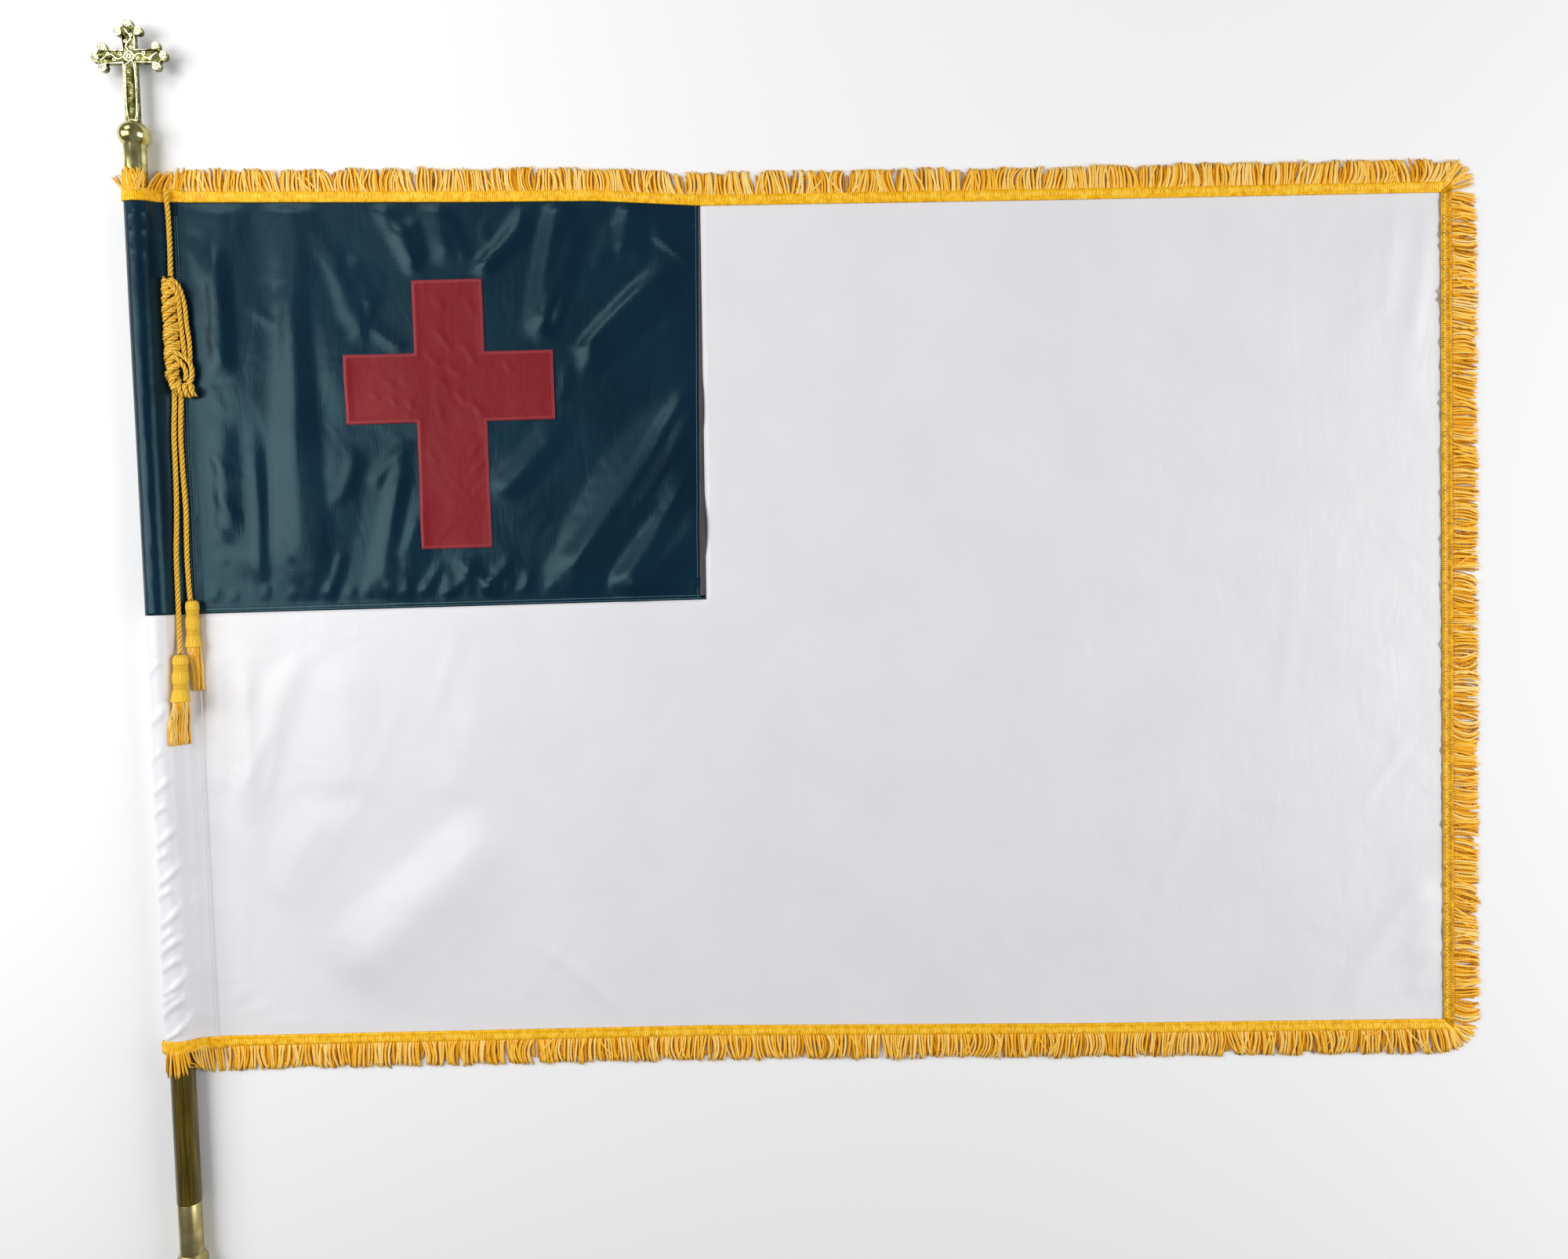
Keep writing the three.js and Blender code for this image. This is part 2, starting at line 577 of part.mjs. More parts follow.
// A lock of strands with three sides: it leaves the tape and lies down on what is below it.
function lock({ root, tip, wide, lowRoot, lowTip, bend }) {
  const across = new THREE.Vector2(root.y - tip.y, tip.x - root.x).normalize();
  const rows = [
    { t: 0, wide: wide * 0.9, high: 1.9 },
    { t: 0.58, wide, high: LOCK_HIGH },
    { t: 1, wide: wide * 0.75, high: LOCK_HIGH * 0.5 },
  ];
  return loft(rows.map((row) => {
    const sideways = bend * 4 * row.t * (1 - row.t);
    const x = mix(root.x, tip.x, row.t) + across.x * sideways;
    const y = mix(root.y, tip.y, row.t) + across.y * sideways;
    const z = row.t === 0 ? lowRoot : mix(mix(lowRoot, lowTip, row.t), lowTip, 0.35);
    const half = row.wide / 2;
    return [
      [x - across.x * half, y - across.y * half, z],
      [x + across.x * half, y + across.y * half, z],
      [x, y, z + row.high],
    ];
  }));
}

// An uneven but repeatable number from -1 to 1.
const uneven = (i) => Math.sin(i * 12.9898) * Math.cos(i * 4.1414);

// Locks along a straight stretch of tape, leaning one way and another in groups.
function edgeLocks(count, pointAt, outX, outY, seed) {
  return Array.from({ length: count }, (_, i) => {
    const at = pointAt((i + 0.5) / count);
    const lean = turned(9 * uneven(Math.floor(i / 3) + seed) + 5 * uneven(i + seed * 7));
    const long = LOCK_LENGTH + 2.5 * uneven(i * 3 + seed);
    const goX = outX * Math.cos(lean) - outY * Math.sin(lean);
    const goY = outX * Math.sin(lean) + outY * Math.cos(lean);
    const root = { x: at.x + outX * (TAPE_WIDE - 5), y: at.y + outY * (TAPE_WIDE - 5) };
    const tip = { x: root.x + goX * (long + 5), y: root.y + goY * (long + 5) };
    const wide = 14.5 + 2 * uneven(i + 31);
    return lock({ root, tip, wide, lowRoot: 0, lowTip: 0, bend: 2 * uneven(i + 17) });
  });
}

// Locks over the sleeve: a place across from the pole's axis, a sideways lean, and what each lies on.
const HOIST_LOCKS = [
  { across: -14.5, lean: -17, wide: 4 },
  { across: -7, lean: -2, wide: 5 },
  { across: 1, lean: 2, wide: 5 },
  { across: 9, lean: 4, wide: 5 },
  { across: 20, lean: 5, wide: 5 },
  { across: 26.5, lean: 2, wide: 4 },
];

function hoistLocks(edge, side, under) {
  return HOIST_LOCKS.map(({ across, lean, wide }) => {
    const high = clothTop(across);
    const y = edge[0].y - side * pulledIn(across, high);
    const root = { x: POLE_X + across, y: y + side * (TAPE_WIDE - 5) };
    const tip = { x: root.x + lean, y: root.y + side * LOCK_LENGTH };
    const near = Math.max(0, Math.min(Math.abs(across), Math.abs(across + lean)) - wide / 2);
    const lowTip = near < under ? POLE_Z + Math.sqrt((under + 2 * GAP) ** 2 - near ** 2) : 0;
    return lock({ root, tip, wide, lowRoot: Math.max(high - CLOTH + 0.1, lowTip), lowTip, bend: 0 });
  });
}

const joined = (first, others) => others.reduce((whole, one) => whole.add(one), first);

// Over the sleeve the fringe climbs the hump: what lies under it there, and how loose the sleeve is.
const TOP_SLEEVE = { under: TOP_TUBE_RADIUS, loose: 0.6 };
const BOTTOM_SLEEVE = { under: POLE_RADIUS, loose: 6 };

function sleeveFringe(edge, side, { under, loose }) {
  return joined(tape(hoistStations(edge, side, loose), 0, side), hoistLocks(edge, side, under));
}

function sideFringe(edge, side, seed) {
  const line = edge.slice(1).map((row) => ({ x: row.x, y: row.y, z: CLOTH, nx: 0, nz: 1, along: 0 }));
  line[line.length - 1].along = side;
  line[line.length - 1].x -= GAP;
  const start = SLEEVE_TAPE_END + GAP / 2;
  const band = tape([{ ...line[0], x: start, y: edge[0].y }, ...line], 0, side);
  const count = Math.round((FLY_X - start) / LOCK_PITCH);
  const pointAt = (t) => {
    const x = mix(start, FLY_X - 6, t);
    return { x, y: edgeY(edge, x) };
  };
  const corner = { x: FLY_X + 5, y: edgeY(edge, FLY_X) + side * 12 };
  const cornerTip = { x: corner.x + LOCK_LENGTH * 0.72, y: corner.y + side * LOCK_LENGTH * 0.72 };
  return joined(band, [
    ...edgeLocks(count, pointAt, 0, side, seed),
    lock({ root: corner, tip: cornerTip, wide: 9, lowRoot: 0, lowTip: 0, bend: 0 }),
  ]);
}

function flyFringe() {
  const low = edgeY(BOTTOM_EDGE, FLY_X) + GAP;
  const high = edgeY(TOP_EDGE, FLY_X) - GAP;
  const flat = { x: FLY_X, z: CLOTH, nx: 0, nz: 1 };
  const band = tape([{ ...flat, y: low, along: -1 }, { ...flat, y: high, along: 1 }], 1, 0);
  const count = Math.round((high - low) / LOCK_PITCH);
  const pointAt = (t) => ({ x: FLY_X, y: mix(low, high, t) });
  return joined(band, edgeLocks(count, pointAt, 1, 0, 5));
}

// A three-strand rope: a section with three lobes that turns as it goes along its route.
function rope(route) {
  const curve = new THREE.CatmullRomCurve3(route.map((p) => new THREE.Vector3(...p)), false, "centripetal");
  const steps = Math.round((curve.getLength() * ROPE_RINGS) / ROPE_LAY);
  const up = new THREE.Vector3(0, 0, 1);
  return loft(Array.from({ length: steps + 1 }, (_, k) => {
    const at = curve.getPointAt(k / steps);
    const along = curve.getTangentAt(k / steps);
    const side = new THREE.Vector3().crossVectors(along, up).normalize();
    const normal = new THREE.Vector3().crossVectors(side, along);
    return Array.from({ length: 6 }, (__, i) => {
      const angle = turned(60 * i + (360 * k) / ROPE_RINGS + 30);
      const radius = i % 2 ? ROPE_RADIUS - ROPE_GROOVE : ROPE_RADIUS;
      const p = at.clone().addScaledVector(side, radius * Math.cos(angle));
      return p.addScaledVector(normal, radius * Math.sin(angle)).toArray();
    });
  }));
}

// The bundle's section at a place along it, between the rows of its table.
function knotRow(y) {
  const after = KNOT_ROWS.findIndex((row) => row.y <= y + 1e-6);
  const [a, b] = [KNOT_ROWS[Math.max(1, after) - 1], KNOT_ROWS[Math.max(1, after)]];
  const t = (y - a.y) / (b.y - a.y);
  return { y, left: mix(a.left, b.left, t), right: mix(a.right, b.right, t), top: mix(a.top, b.top, t) };
}

// The bundle lies on the sleeve, higher at its wound column than at the runs on its fly side.
function knot() {
  const long = KNOT_ROWS[0].y - KNOT_ROWS[KNOT_ROWS.length - 1].y;
  const steps = Math.round(long / KNOT_STEP);
  const rings = Array.from({ length: steps + 1 }, (_, k) => {
    const row = knotRow(KNOT_ROWS[0].y - (long * k) / steps);
    return Array.from({ length: KNOT_SIDES }, (__, i) => {
      const angle = turned((360 * i) / KNOT_SIDES);
      const turn = (2 * Math.PI * row.y) / WRAP_PITCH + 2 * angle;
      const wrap = k > 0 && k < steps ? WRAP_HIGH * Math.cos(turn) : 0;
      const half = (row.right - row.left) / 2;
      const x = (row.left + row.right) / 2 + (half - 0.6 + wrap * 0.6) * Math.cos(angle);
      const lower = 1 - 0.32 * (1 + Math.cos(angle));
      const crown = clothTop(x - POLE_X) + 2 * GAP + (row.top - 6 + wrap) * lower;
      const floor = clothTop(x - POLE_X) + 2 * GAP;
      const z = mix(floor, Math.max(floor + 1.5, crown), 0.5 + 0.5 * Math.sin(angle));
      return [x, row.y, z];
    });
  });
  const eye = new THREE.CylinderGeometry(EYE.radius, EYE.radius, 60, 10);
  eye.rotateX(Math.PI / 2);
  eye.scale(0.9, 1.15, 1);
  eye.translate(EYE.x, EYE.y, 20);
  return loft(rings).subtract(solidOf(eye));
}

// Places on the cloth at even steps along its surface, between two distances from the pole's axis.
function overCloth(from, to, count) {
  const fine = 60;
  const line = Array.from({ length: fine + 1 }, (_, k) => {
    const across = mix(from, to, k / fine);
    return new THREE.Vector3(POLE_X + across, 0, clothTop(across) + GAP);
  });
  const curve = new THREE.CurvePath();
  for (let k = 0; k < fine; k += 1) curve.add(new THREE.LineCurve3(line[k], line[k + 1]));
  return Array.from({ length: count }, (_, i) => curve.getPointAt((i + 0.5) / count));
}

// A strand of a skirt: a three-sided bar through rows that each have a place, a width and a height.
function skirtStrand(rows) {
  return loft(rows.map(({ x, y, z, wide, high }) => {
    return [[x - wide / 2, y, z], [x + wide / 2, y, z], [x, y, z + high]];
  }));
}

// A tassel on its side: the bound head leans on the sleeve, and two layers of strands fan out over the cloth.
function tassel({ across, y, z, leanX, leanZ, size, skirt }) {
  const wide = 2.4;
  const rest = (px) => clothTop(px - POLE_X) + 2 * GAP;
  const centre = (at) => ({ x: POLE_X + across + leanX * at, z: z + leanZ * at });
  const rings = TASSEL_HEAD.map(({ at, half }) => Array.from({ length: TASSEL_SIDES }, (_, i) => {
    const angle = turned((360 * (i + 0.5)) / TASSEL_SIDES);
    const px = centre(at).x + half * size * Math.cos(angle);
    return [px, y - at, Math.max(rest(px), centre(at).z + half * size * 0.86 * Math.sin(angle))];
  }));
  const end = TASSEL_HEAD[TASSEL_HEAD.length - 1];
  const rootRing = end.half * size * 0.7;
  const middle = (skirt.from + skirt.to) / 2;
  const strands = SKIRT_LAYERS.flatMap(({ strands: count, share, lift, from, to }, layer) => {
    const ends = overCloth(mix(middle, skirt.from, share), mix(middle, skirt.to, share), count);
    return ends.map((tip, i) => {
      const angle = turned(mix(from, to, (i + 0.5) / count));
      const { x: cx, z: cz } = centre(end.at - 3);
      const root = { x: cx + rootRing * Math.cos(angle), z: cz + rootRing * 0.8 * Math.sin(angle) - 1 };
      const mid = mix(root.x, tip.x, 0.55);
      const over = (px) => Math.max(rest(px - wide / 2), rest(px), rest(px + wide / 2));
      const midZ = Math.max(mix(root.z, tip.z, 0.6), over(mid) + 0.8) + lift;
      return skirtStrand([
        { x: root.x, y: y - end.at + 3, z: root.z, wide: 2, high: 2 },
        { x: mid, y: y - end.at - SKIRT * 0.4, z: midZ, wide, high: 3 },
        { x: tip.x, y: y - end.at - SKIRT - 3 * uneven(i + layer), z: over(tip.x) + lift, wide, high: 2.2 },
      ]);
    });
  });
  return joined(loft(rings), strands);
}

// A round piece about the pole's axis, from its radius at each place along it.
function turnedPiece(profile, sides = ROUND_SIDES) {
  const geometry = new THREE.LatheGeometry(profile.map(([radius, y]) => new THREE.Vector2(radius, y)), sides);
  geometry.translate(POLE_X, 0, POLE_Z);
  return solidOf(geometry);
}

function pole() {
  const low = JOINT_TOP;
  return turnedPiece([
    [0, low - SPIGOT_LENGTH], [SPIGOT_RADIUS, low - SPIGOT_LENGTH], [SPIGOT_RADIUS, low + GAP],
    [POLE_RADIUS, low + GAP], [POLE_RADIUS, POLE_TOP], [SPIGOT_RADIUS, POLE_TOP],
    [SPIGOT_RADIUS, POLE_TOP + SPIGOT_LENGTH], [0, POLE_TOP + SPIGOT_LENGTH],
  ]);
}

function finialFerrule() {
  const bore = SPIGOT_RADIUS + GAP;
  const top = BALL_Y - BALL_HALF_LENGTH * Math.sqrt(1 - (TOP_TUBE_RADIUS / BALL_RADIUS) ** 2) - GAP;
  const seat = POLE_TOP + SPIGOT_LENGTH + GAP;
  return turnedPiece([
    [0, seat], [bore, seat], [bore, POLE_TOP + GAP], [TOP_TUBE_RADIUS, POLE_TOP + GAP],
    [TOP_TUBE_RADIUS, top], [0, top],
  ]);
}

function ballProfile(grow) {
  const flat = Math.asin(Math.sqrt(1 - (TOP_TUBE_RADIUS / BALL_RADIUS) ** 2));
  const steps = 9;
  const arc = Array.from({ length: steps + 1 }, (_, k) => {
    const angle = mix(-flat, Math.PI / 2 - 0.2, k / steps);
    return [(BALL_RADIUS + grow) * Math.cos(angle), BALL_Y + (BALL_HALF_LENGTH + grow) * Math.sin(angle)];
  });
  return [[0, arc[0][1]], ...arc, [0, arc[steps][1]]];
}

function jointFerrule() {
  const bore = SPIGOT_RADIUS + GAP;
  const seat = JOINT_TOP - SPIGOT_LENGTH - GAP;
  return turnedPiece([
    [0, COLLAR_TOP + GAP], [JOINT_TUBE_RADIUS, COLLAR_TOP + GAP], [JOINT_TUBE_RADIUS, JOINT_TOP],
    [bore, JOINT_TOP], [bore, seat], [0, seat],
  ]);
}

// The collar flares from the ferrule and is ribbed for the hand. It stands on the floor as the ball does.
function jointCollar() {
  const ribs = 24;
  const ring = (radius, y, depth) => Array.from({ length: ribs * 2 }, (_, i) => {
    const angle = (Math.PI * i) / ribs;
    const r = radius - (i % 2 ? depth : 0);
    return [POLE_X + r * Math.sin(angle), y, POLE_Z - r * Math.cos(angle)];
  });
  return loft([
    ring(JOINT_TUBE_RADIUS + 0.4, COLLAR_TOP, 0),
    ring(BALL_RADIUS, COLLAR_TOP - 8, 0.8),
    ring(BALL_RADIUS, POLE_END + 1.5, 0.8),
    ring(BALL_RADIUS - 1.5, POLE_END, 0),
  ]);
}

// The finial cross's outline about its crossing, drawn in by a rim. Its lower stem runs down to the ball.
function crossShape(inset, stem) {
  const half = CROSS_ARM_HALF - inset;
  const lobe = LOBE_RADIUS - inset;
  const rise = LOBE_OUT - half;
  const dip = Math.sqrt(Math.max(0, lobe ** 2 - rise ** 2));
  const meet = THREE.MathUtils.radToDeg(Math.atan2(rise, dip));
  const shape = new THREE.Shape();
  shape.moveTo(half, -stem);
  const arms = [
    { outX: 1, outY: 0, reach: CROSS_SIDE_REACH },
    { outX: 0, outY: 1, reach: CROSS_TOP_REACH },
    { outX: -1, outY: 0, reach: CROSS_SIDE_REACH },
  ];
  for (const { outX, outY, reach } of arms) {
    const place = (along, across) => shape.lineTo(outX * along - outY * across, outY * along + outX * across);
    const end = reach - END_LOBE_RADIUS;
    const back = end - LOBE_BACK;
    const arcs = [
      { along: back, across: -LOBE_OUT, radius: lobe, from: 180 - meet, to: 400 },
      { along: end, across: 0, radius: END_LOBE_RADIUS - inset, from: -110, to: 110 },
      { along: back, across: LOBE_OUT, radius: lobe, from: -40, to: 180 + meet },
    ];
    place(half, -half);
    for (const arc of arcs) {
      for (let k = 0; k <= LOBE_STEPS; k += 1) {
        const angle = turned(mix(arc.from, arc.to, k / LOBE_STEPS));
        place(arc.along + arc.radius * Math.cos(angle), arc.across + arc.radius * Math.sin(angle));
      }
    }
  }
  shape.lineTo(-half, -half);
  shape.lineTo(-half, -stem);
  return shape;
}

// A flat plate of an outline, about the crossing, between two heights.
function plate(shape, low, high) {
  const geometry = new THREE.ExtrudeGeometry(shape, { depth: high - low, bevelEnabled: false });
  geometry.translate(POLE_X, CROSS_Y, POLE_Z + low);
  return solidOf(geometry);
}

// Both faces have a raised rim and a boss on the crossing. The stem stands on the ball.
function finialCross() {
  const half = CROSS_THICK / 2;
  const stem = CROSS_Y - BALL_Y;
  const recess = crossShape(CROSS_RIM, stem - BALL_HALF_LENGTH - CROSS_RIM);
  const boss = new THREE.CylinderGeometry(BOSS_RADIUS, BOSS_RADIUS, CROSS_THICK + 1, 16);
  boss.rotateX(Math.PI / 2);
  boss.translate(POLE_X, CROSS_Y, POLE_Z);
  return plate(crossShape(0, stem), -half, half)
    .subtract(plate(recess, half - CROSS_RECESS, half + 1))
    .subtract(plate(recess, -half - 1, CROSS_RECESS - half))
    .add(solidOf(boss))
    .subtract(turnedPiece(ballProfile(GAP)));
}

const group = new THREE.Group();
group.add(
  mesh("white_field", whiteField(), COLOURS.white, 0.6),
  mesh("white_sleeve", sleeve(FIELD_SLEEVE, 0), COLOURS.white, 0.6),
  mesh("canton", canton(), COLOURS.blue, 0.55),
  mesh("blue_sleeve", sleeve(CANTON_SLEEVE, CANTON_SLEEVE.length - 1), COLOURS.blue, 0.55),
  mesh("red_cross", redCross(), COLOURS.red, 0.6),
  mesh("fringe_top", sideFringe(TOP_EDGE, 1, 1), COLOURS.gold, 0.5),
  mesh("fringe_top_sleeve", sleeveFringe(TOP_EDGE, 1, TOP_SLEEVE), COLOURS.gold, 0.5),
  mesh("fringe_fly", flyFringe(), COLOURS.gold, 0.5),
  mesh("fringe_bottom", sideFringe(BOTTOM_EDGE, -1, 2), COLOURS.gold, 0.5),
  mesh("fringe_bottom_sleeve", sleeveFringe(BOTTOM_EDGE, -1, BOTTOM_SLEEVE), COLOURS.gold, 0.5),
  mesh("pole", pole(), COLOURS.wood, 0.4),
  mesh("finial_ferrule", finialFerrule(), COLOURS.brass, 0.2, 1),
  mesh("finial_ball", turnedPiece(ballProfile(0)), COLOURS.brass, 0.2, 1),
  mesh("finial_cross", finialCross(), COLOURS.brass, 0.3, 1),
  mesh("joint_ferrule", jointFerrule(), COLOURS.brass, 0.3, 1),
  mesh("joint_collar", jointCollar(), COLOURS.knurl, 0.4, 1),
  mesh("cord_upper", rope(UPPER_ROUTE), COLOURS.rope, 0.5),
  mesh("cord_knot", knot(), COLOURS.rope, 0.5),
  mesh("cord_left", rope(LEFT_ROUTE), COLOURS.rope, 0.5),
  mesh("cord_right", rope(RIGHT_ROUTE), COLOURS.rope, 0.5),
  mesh("tassel_left", tassel(TASSELS.left), COLOURS.tassel, 0.5),
  mesh("tassel_right", tassel(TASSELS.right), COLOURS.tassel, 0.5),
);

export default group;
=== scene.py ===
import math

import bpy
import numpy as np
from mathutils import Matrix, Vector


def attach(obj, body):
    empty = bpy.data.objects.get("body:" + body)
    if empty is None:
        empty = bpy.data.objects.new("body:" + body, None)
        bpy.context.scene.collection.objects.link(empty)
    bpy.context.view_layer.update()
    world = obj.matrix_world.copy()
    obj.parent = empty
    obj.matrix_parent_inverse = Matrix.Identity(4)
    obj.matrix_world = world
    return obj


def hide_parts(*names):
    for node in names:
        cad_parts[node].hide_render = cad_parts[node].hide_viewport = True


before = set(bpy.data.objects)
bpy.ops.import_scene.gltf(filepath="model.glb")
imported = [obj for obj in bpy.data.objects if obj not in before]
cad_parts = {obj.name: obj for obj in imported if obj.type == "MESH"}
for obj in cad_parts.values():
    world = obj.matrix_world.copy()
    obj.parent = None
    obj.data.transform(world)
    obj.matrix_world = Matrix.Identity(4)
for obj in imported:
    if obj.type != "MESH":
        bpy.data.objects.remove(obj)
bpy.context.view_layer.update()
MM = 0.001

# Camera. The flag lies on a floor and is seen from 1.58 m above its middle, with a wide lens,
# so round pieces that stand off the floor show a little of the side that faces the middle.
camera = bpy.data.objects.new("camera", bpy.data.cameras.new("camera"))
camera.data.lens = 26
camera.data.sensor_width = 36
camera.data.sensor_fit = "HORIZONTAL"
camera.data.clip_end = 30
camera_back = Vector((-0.0048, 0.0424, 0.9990)).normalized()
camera_up = camera_back.cross(Vector((0.99949, -0.02847, 0.0060))).normalized()
camera_right = camera_up.cross(camera_back)
camera.matrix_world = Matrix.Translation((-0.031, 0.054, 1.583)) @ Matrix(
    (camera_right, camera_up, camera_back)
).transposed().to_4x4()
bpy.context.collection.objects.link(camera)
bpy.context.scene.camera = camera


# Cords. A gold rayon rope, 6.8 mm thick and laid from three twisted strands, comes out from under the top
# fringe, runs down on the sleeve and is wound into a bundle. Two ends leave the bundle for the tassels.
ROPE_THICK = 6.8
ROPE_LAY = 20.7
YARN_LAY = 2.6
ROPE_STEP = 1.5
ROPE_SIDES = 8
UPPER_ROUTE = [
    (-848.4, 612, 10.5), (-848.3, 605, 11), (-848.2, 598, 11), (-848.1, 591, 10.5), (-848, 583, 9.7),
    (-848, 573, 9.1), (-848, 560, 8.9), (-848, 548, 8.9), (-848, 536, 8.9), (-848.2, 524, 9),
    (-848.4, 512, 9.2), (-848.6, 502, 9.3), (-848.8, 494.5, 9.4),
]
LEFT_ROUTE = [
    (-850.6, 337, 11.2), (-851.3, 326.5, 10.9), (-852, 311, 11.3), (-852.8, 298, 11.9), (-853.6, 274, 12.6),
    (-853.7, 252, 12.8), (-853.8, 230, 12.9), (-854, 208, 13), (-854.4, 185, 13.4), (-855.3, 155, 14.4),
    (-856.8, 120, 16), (-857.2, 85, 16.6), (-857.4, 54, 16.8), (-857.4, 14, 17.9), (-856.2, -4, 20.4),
    (-854.4, -21.8, 23.6),
]
RIGHT_ROUTE = [
    (-843.2, 337, 9.0), (-843.8, 326.3, 7.8), (-845, 311, 7.8), (-845.6, 298, 8), (-846.5, 274, 8.5),
    (-846.4, 252, 8.4), (-846.2, 228, 8.2), (-845.4, 200, 8), (-844.9, 175, 7.8), (-845.4, 154, 8),
    (-846, 133, 8.1), (-846.4, 109, 8.3), (-846.2, 90, 8.3), (-845.6, 70, 8.5), (-844.2, 51.6, 9.6),
]


def linear(colour):
    """A hex colour as the eye sees it, turned to linear light."""
    parts = [int(colour[i:i + 2], 16) / 255 for i in (1, 3, 5)]
    return (*[p / 12.92 if p <= 0.04045 else ((p + 0.055) / 1.055) ** 2.4 for p in parts], 1)


def add(tree, kind, settings=None, links=None):
    """One node, with its settings by name or input number, and the sockets that feed it."""
    node = tree.nodes.new(kind)
    for key, value in (settings or {}).items():
        if isinstance(key, int) or key in node.inputs:
            node.inputs[key].default_value = value
        else:
            setattr(node, key, value)
    for key, socket in (links or {}).items():
        tree.links.new(socket, node.inputs[key])
    return node


def material(name, **settings):
    """A new material, its node tree and its shader, with uniform values on the shader's own sockets."""
    made = bpy.data.materials.new(name)
    made.use_nodes = True
    shader = made.node_tree.nodes["Principled BSDF"]
    for key, value in settings.items():
        shader.inputs[key.replace("_", " ")].default_value = value
    return made, made.node_tree, shader


def ramp(tree, factor, stops):
    """Colours along a factor: hex colours at their places from 0 to 1."""
    node = add(tree, "ShaderNodeValToRGB", links={"Fac": factor})
    while len(node.color_ramp.elements) < len(stops):
        node.color_ramp.elements.new(0.5)
    for element, (place, colour) in zip(node.color_ramp.elements, stops):
        element.position = place
        element.color = linear(colour)
    return node.outputs["Color"]


def coloured(tree, shader, factor, stops):
    tree.links.new(ramp(tree, factor, stops), shader.inputs["Base Color"])


def bumped(tree, shader, height, strength, distance):
    """Relief too fine for the mesh, in metres."""
    bump = add(tree, "ShaderNodeBump", {"Strength": strength, "Distance": distance}, {"Height": height})
    tree.links.new(bump.outputs["Normal"], shader.inputs["Normal"])


def mark(tree, name):
    """A value that the mesh carries at its points."""
    return add(tree, "ShaderNodeAttribute", {"attribute_name": name}).outputs["Fac"]


def waves(tree, value, length=1.0):
    """A wave from -1 to 1 along a value."""
    turns = add(tree, "ShaderNodeMath", {"operation": "MULTIPLY", 1: 2 * math.pi / length}, {0: value})
    return add(tree, "ShaderNodeMath", {"operation": "SINE"}, {0: turns.outputs[0]}).outputs[0]


def piece(name, points, faces, finish, marks=None, smooth=True):
    """A mesh object from points in millimetres, with named values at its points for the material."""
    mesh = bpy.data.meshes.new(name)
    mesh.from_pydata((np.asarray(points, float) * MM).tolist(), [], faces)
    for key, values in (marks or {}).items():
        mesh.attributes.new(key, "FLOAT", "POINT").data.foreach_set("value", np.asarray(values, np.float32))
    mesh.materials.append(finish)
    mesh.polygons.foreach_set("use_smooth", [smooth] * len(mesh.polygons))
    mesh.update()
    made = bpy.data.objects.new(name, mesh)
    bpy.context.collection.objects.link(made)
    return made


def fitted(made, slot, *nodes):
    """Puts a piece on the body and in place of its solids, if it stands for any. The slot is not used."""
    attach(made, "root")
    if nodes:
        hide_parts(*nodes)
    return made


def merge(parts):
    """Points and faces of several parts as one mesh."""
    points, faces, count = [], [], 0
    for p, f in parts:
        points.append(p)
        faces += [[i + count for i in face] for face in f]
        count += len(p)
    return np.vstack(points), faces


def joined(layers):
    """The same for parts that carry marks at their points."""
    points, faces = merge([layer[:2] for layer in layers])
    return points, faces, {key: np.concatenate([layer[2][key] for layer in layers]) for key in layers[0][2]}


def running_length(line):
    """The distance along a line at each of its points."""
    return np.concatenate([[0], np.cumsum(np.linalg.norm(np.diff(line, axis=0), axis=1))])


def along_line(points, step):
    """Points at even steps along one smooth curve through the given ones."""
    p = np.asarray(points, float)
    before = np.vstack([2 * p[0] - p[1], p, 2 * p[-1] - p[-2]])
    dense = []
    for i in range(1, len(p)):
        a, b, c, d = before[i - 1:i + 3]
        t = np.linspace(0, 1, 24, endpoint=False)[:, None]
        dense.append(0.5 * (2 * b + (c - a) * t + (2 * a - 5 * b + 4 * c - d) * t ** 2
                            + (3 * b - a - 3 * c + d) * t ** 3))
    dense = np.vstack([*dense, p[-1:]])
    length = running_length(dense)
    at = np.linspace(0, length[-1], max(3, int(length[-1] / step) + 1))
    return np.stack([np.interp(at, length, dense[:, k]) for k in range(3)], axis=1), at


def unit(v):
    return v / np.maximum(np.linalg.norm(v, axis=-1, keepdims=True), 1e-9)


def frames(line):
    """The direction of a line at each point, and two directions across it that don't spin."""
    ahead = unit(np.gradient(line, axis=0))
    side = np.zeros_like(ahead)
    start = np.cross(ahead[0], (0, 0, 1) if abs(ahead[0][2]) < 0.9 else (1, 0, 0))
    side[0] = start / np.linalg.norm(start)
    for i in range(1, len(line)):
        v = side[i - 1] - ahead[i] * (side[i - 1] @ ahead[i])
        side[i] = v / np.linalg.norm(v)
    return ahead, side, np.cross(ahead, side)


def skin(rings):
    """Points and faces of tubes with closed ends: rings is tubes x rings x sides x 3."""
    tubes, count, sides, _ = rings.shape
    at = np.arange(tubes * count * sides).reshape(tubes, count, sides)
    a, b = at[:, :-1, :], at[:, 1:, :]
    quads = np.stack([a, np.roll(a, -1, 2), np.roll(b, -1, 2), b], axis=-1).reshape(-1, 4)
    return rings.reshape(-1, 3), quads.tolist() + at[:, 0, ::-1].tolist() + at[:, -1, :].tolist()


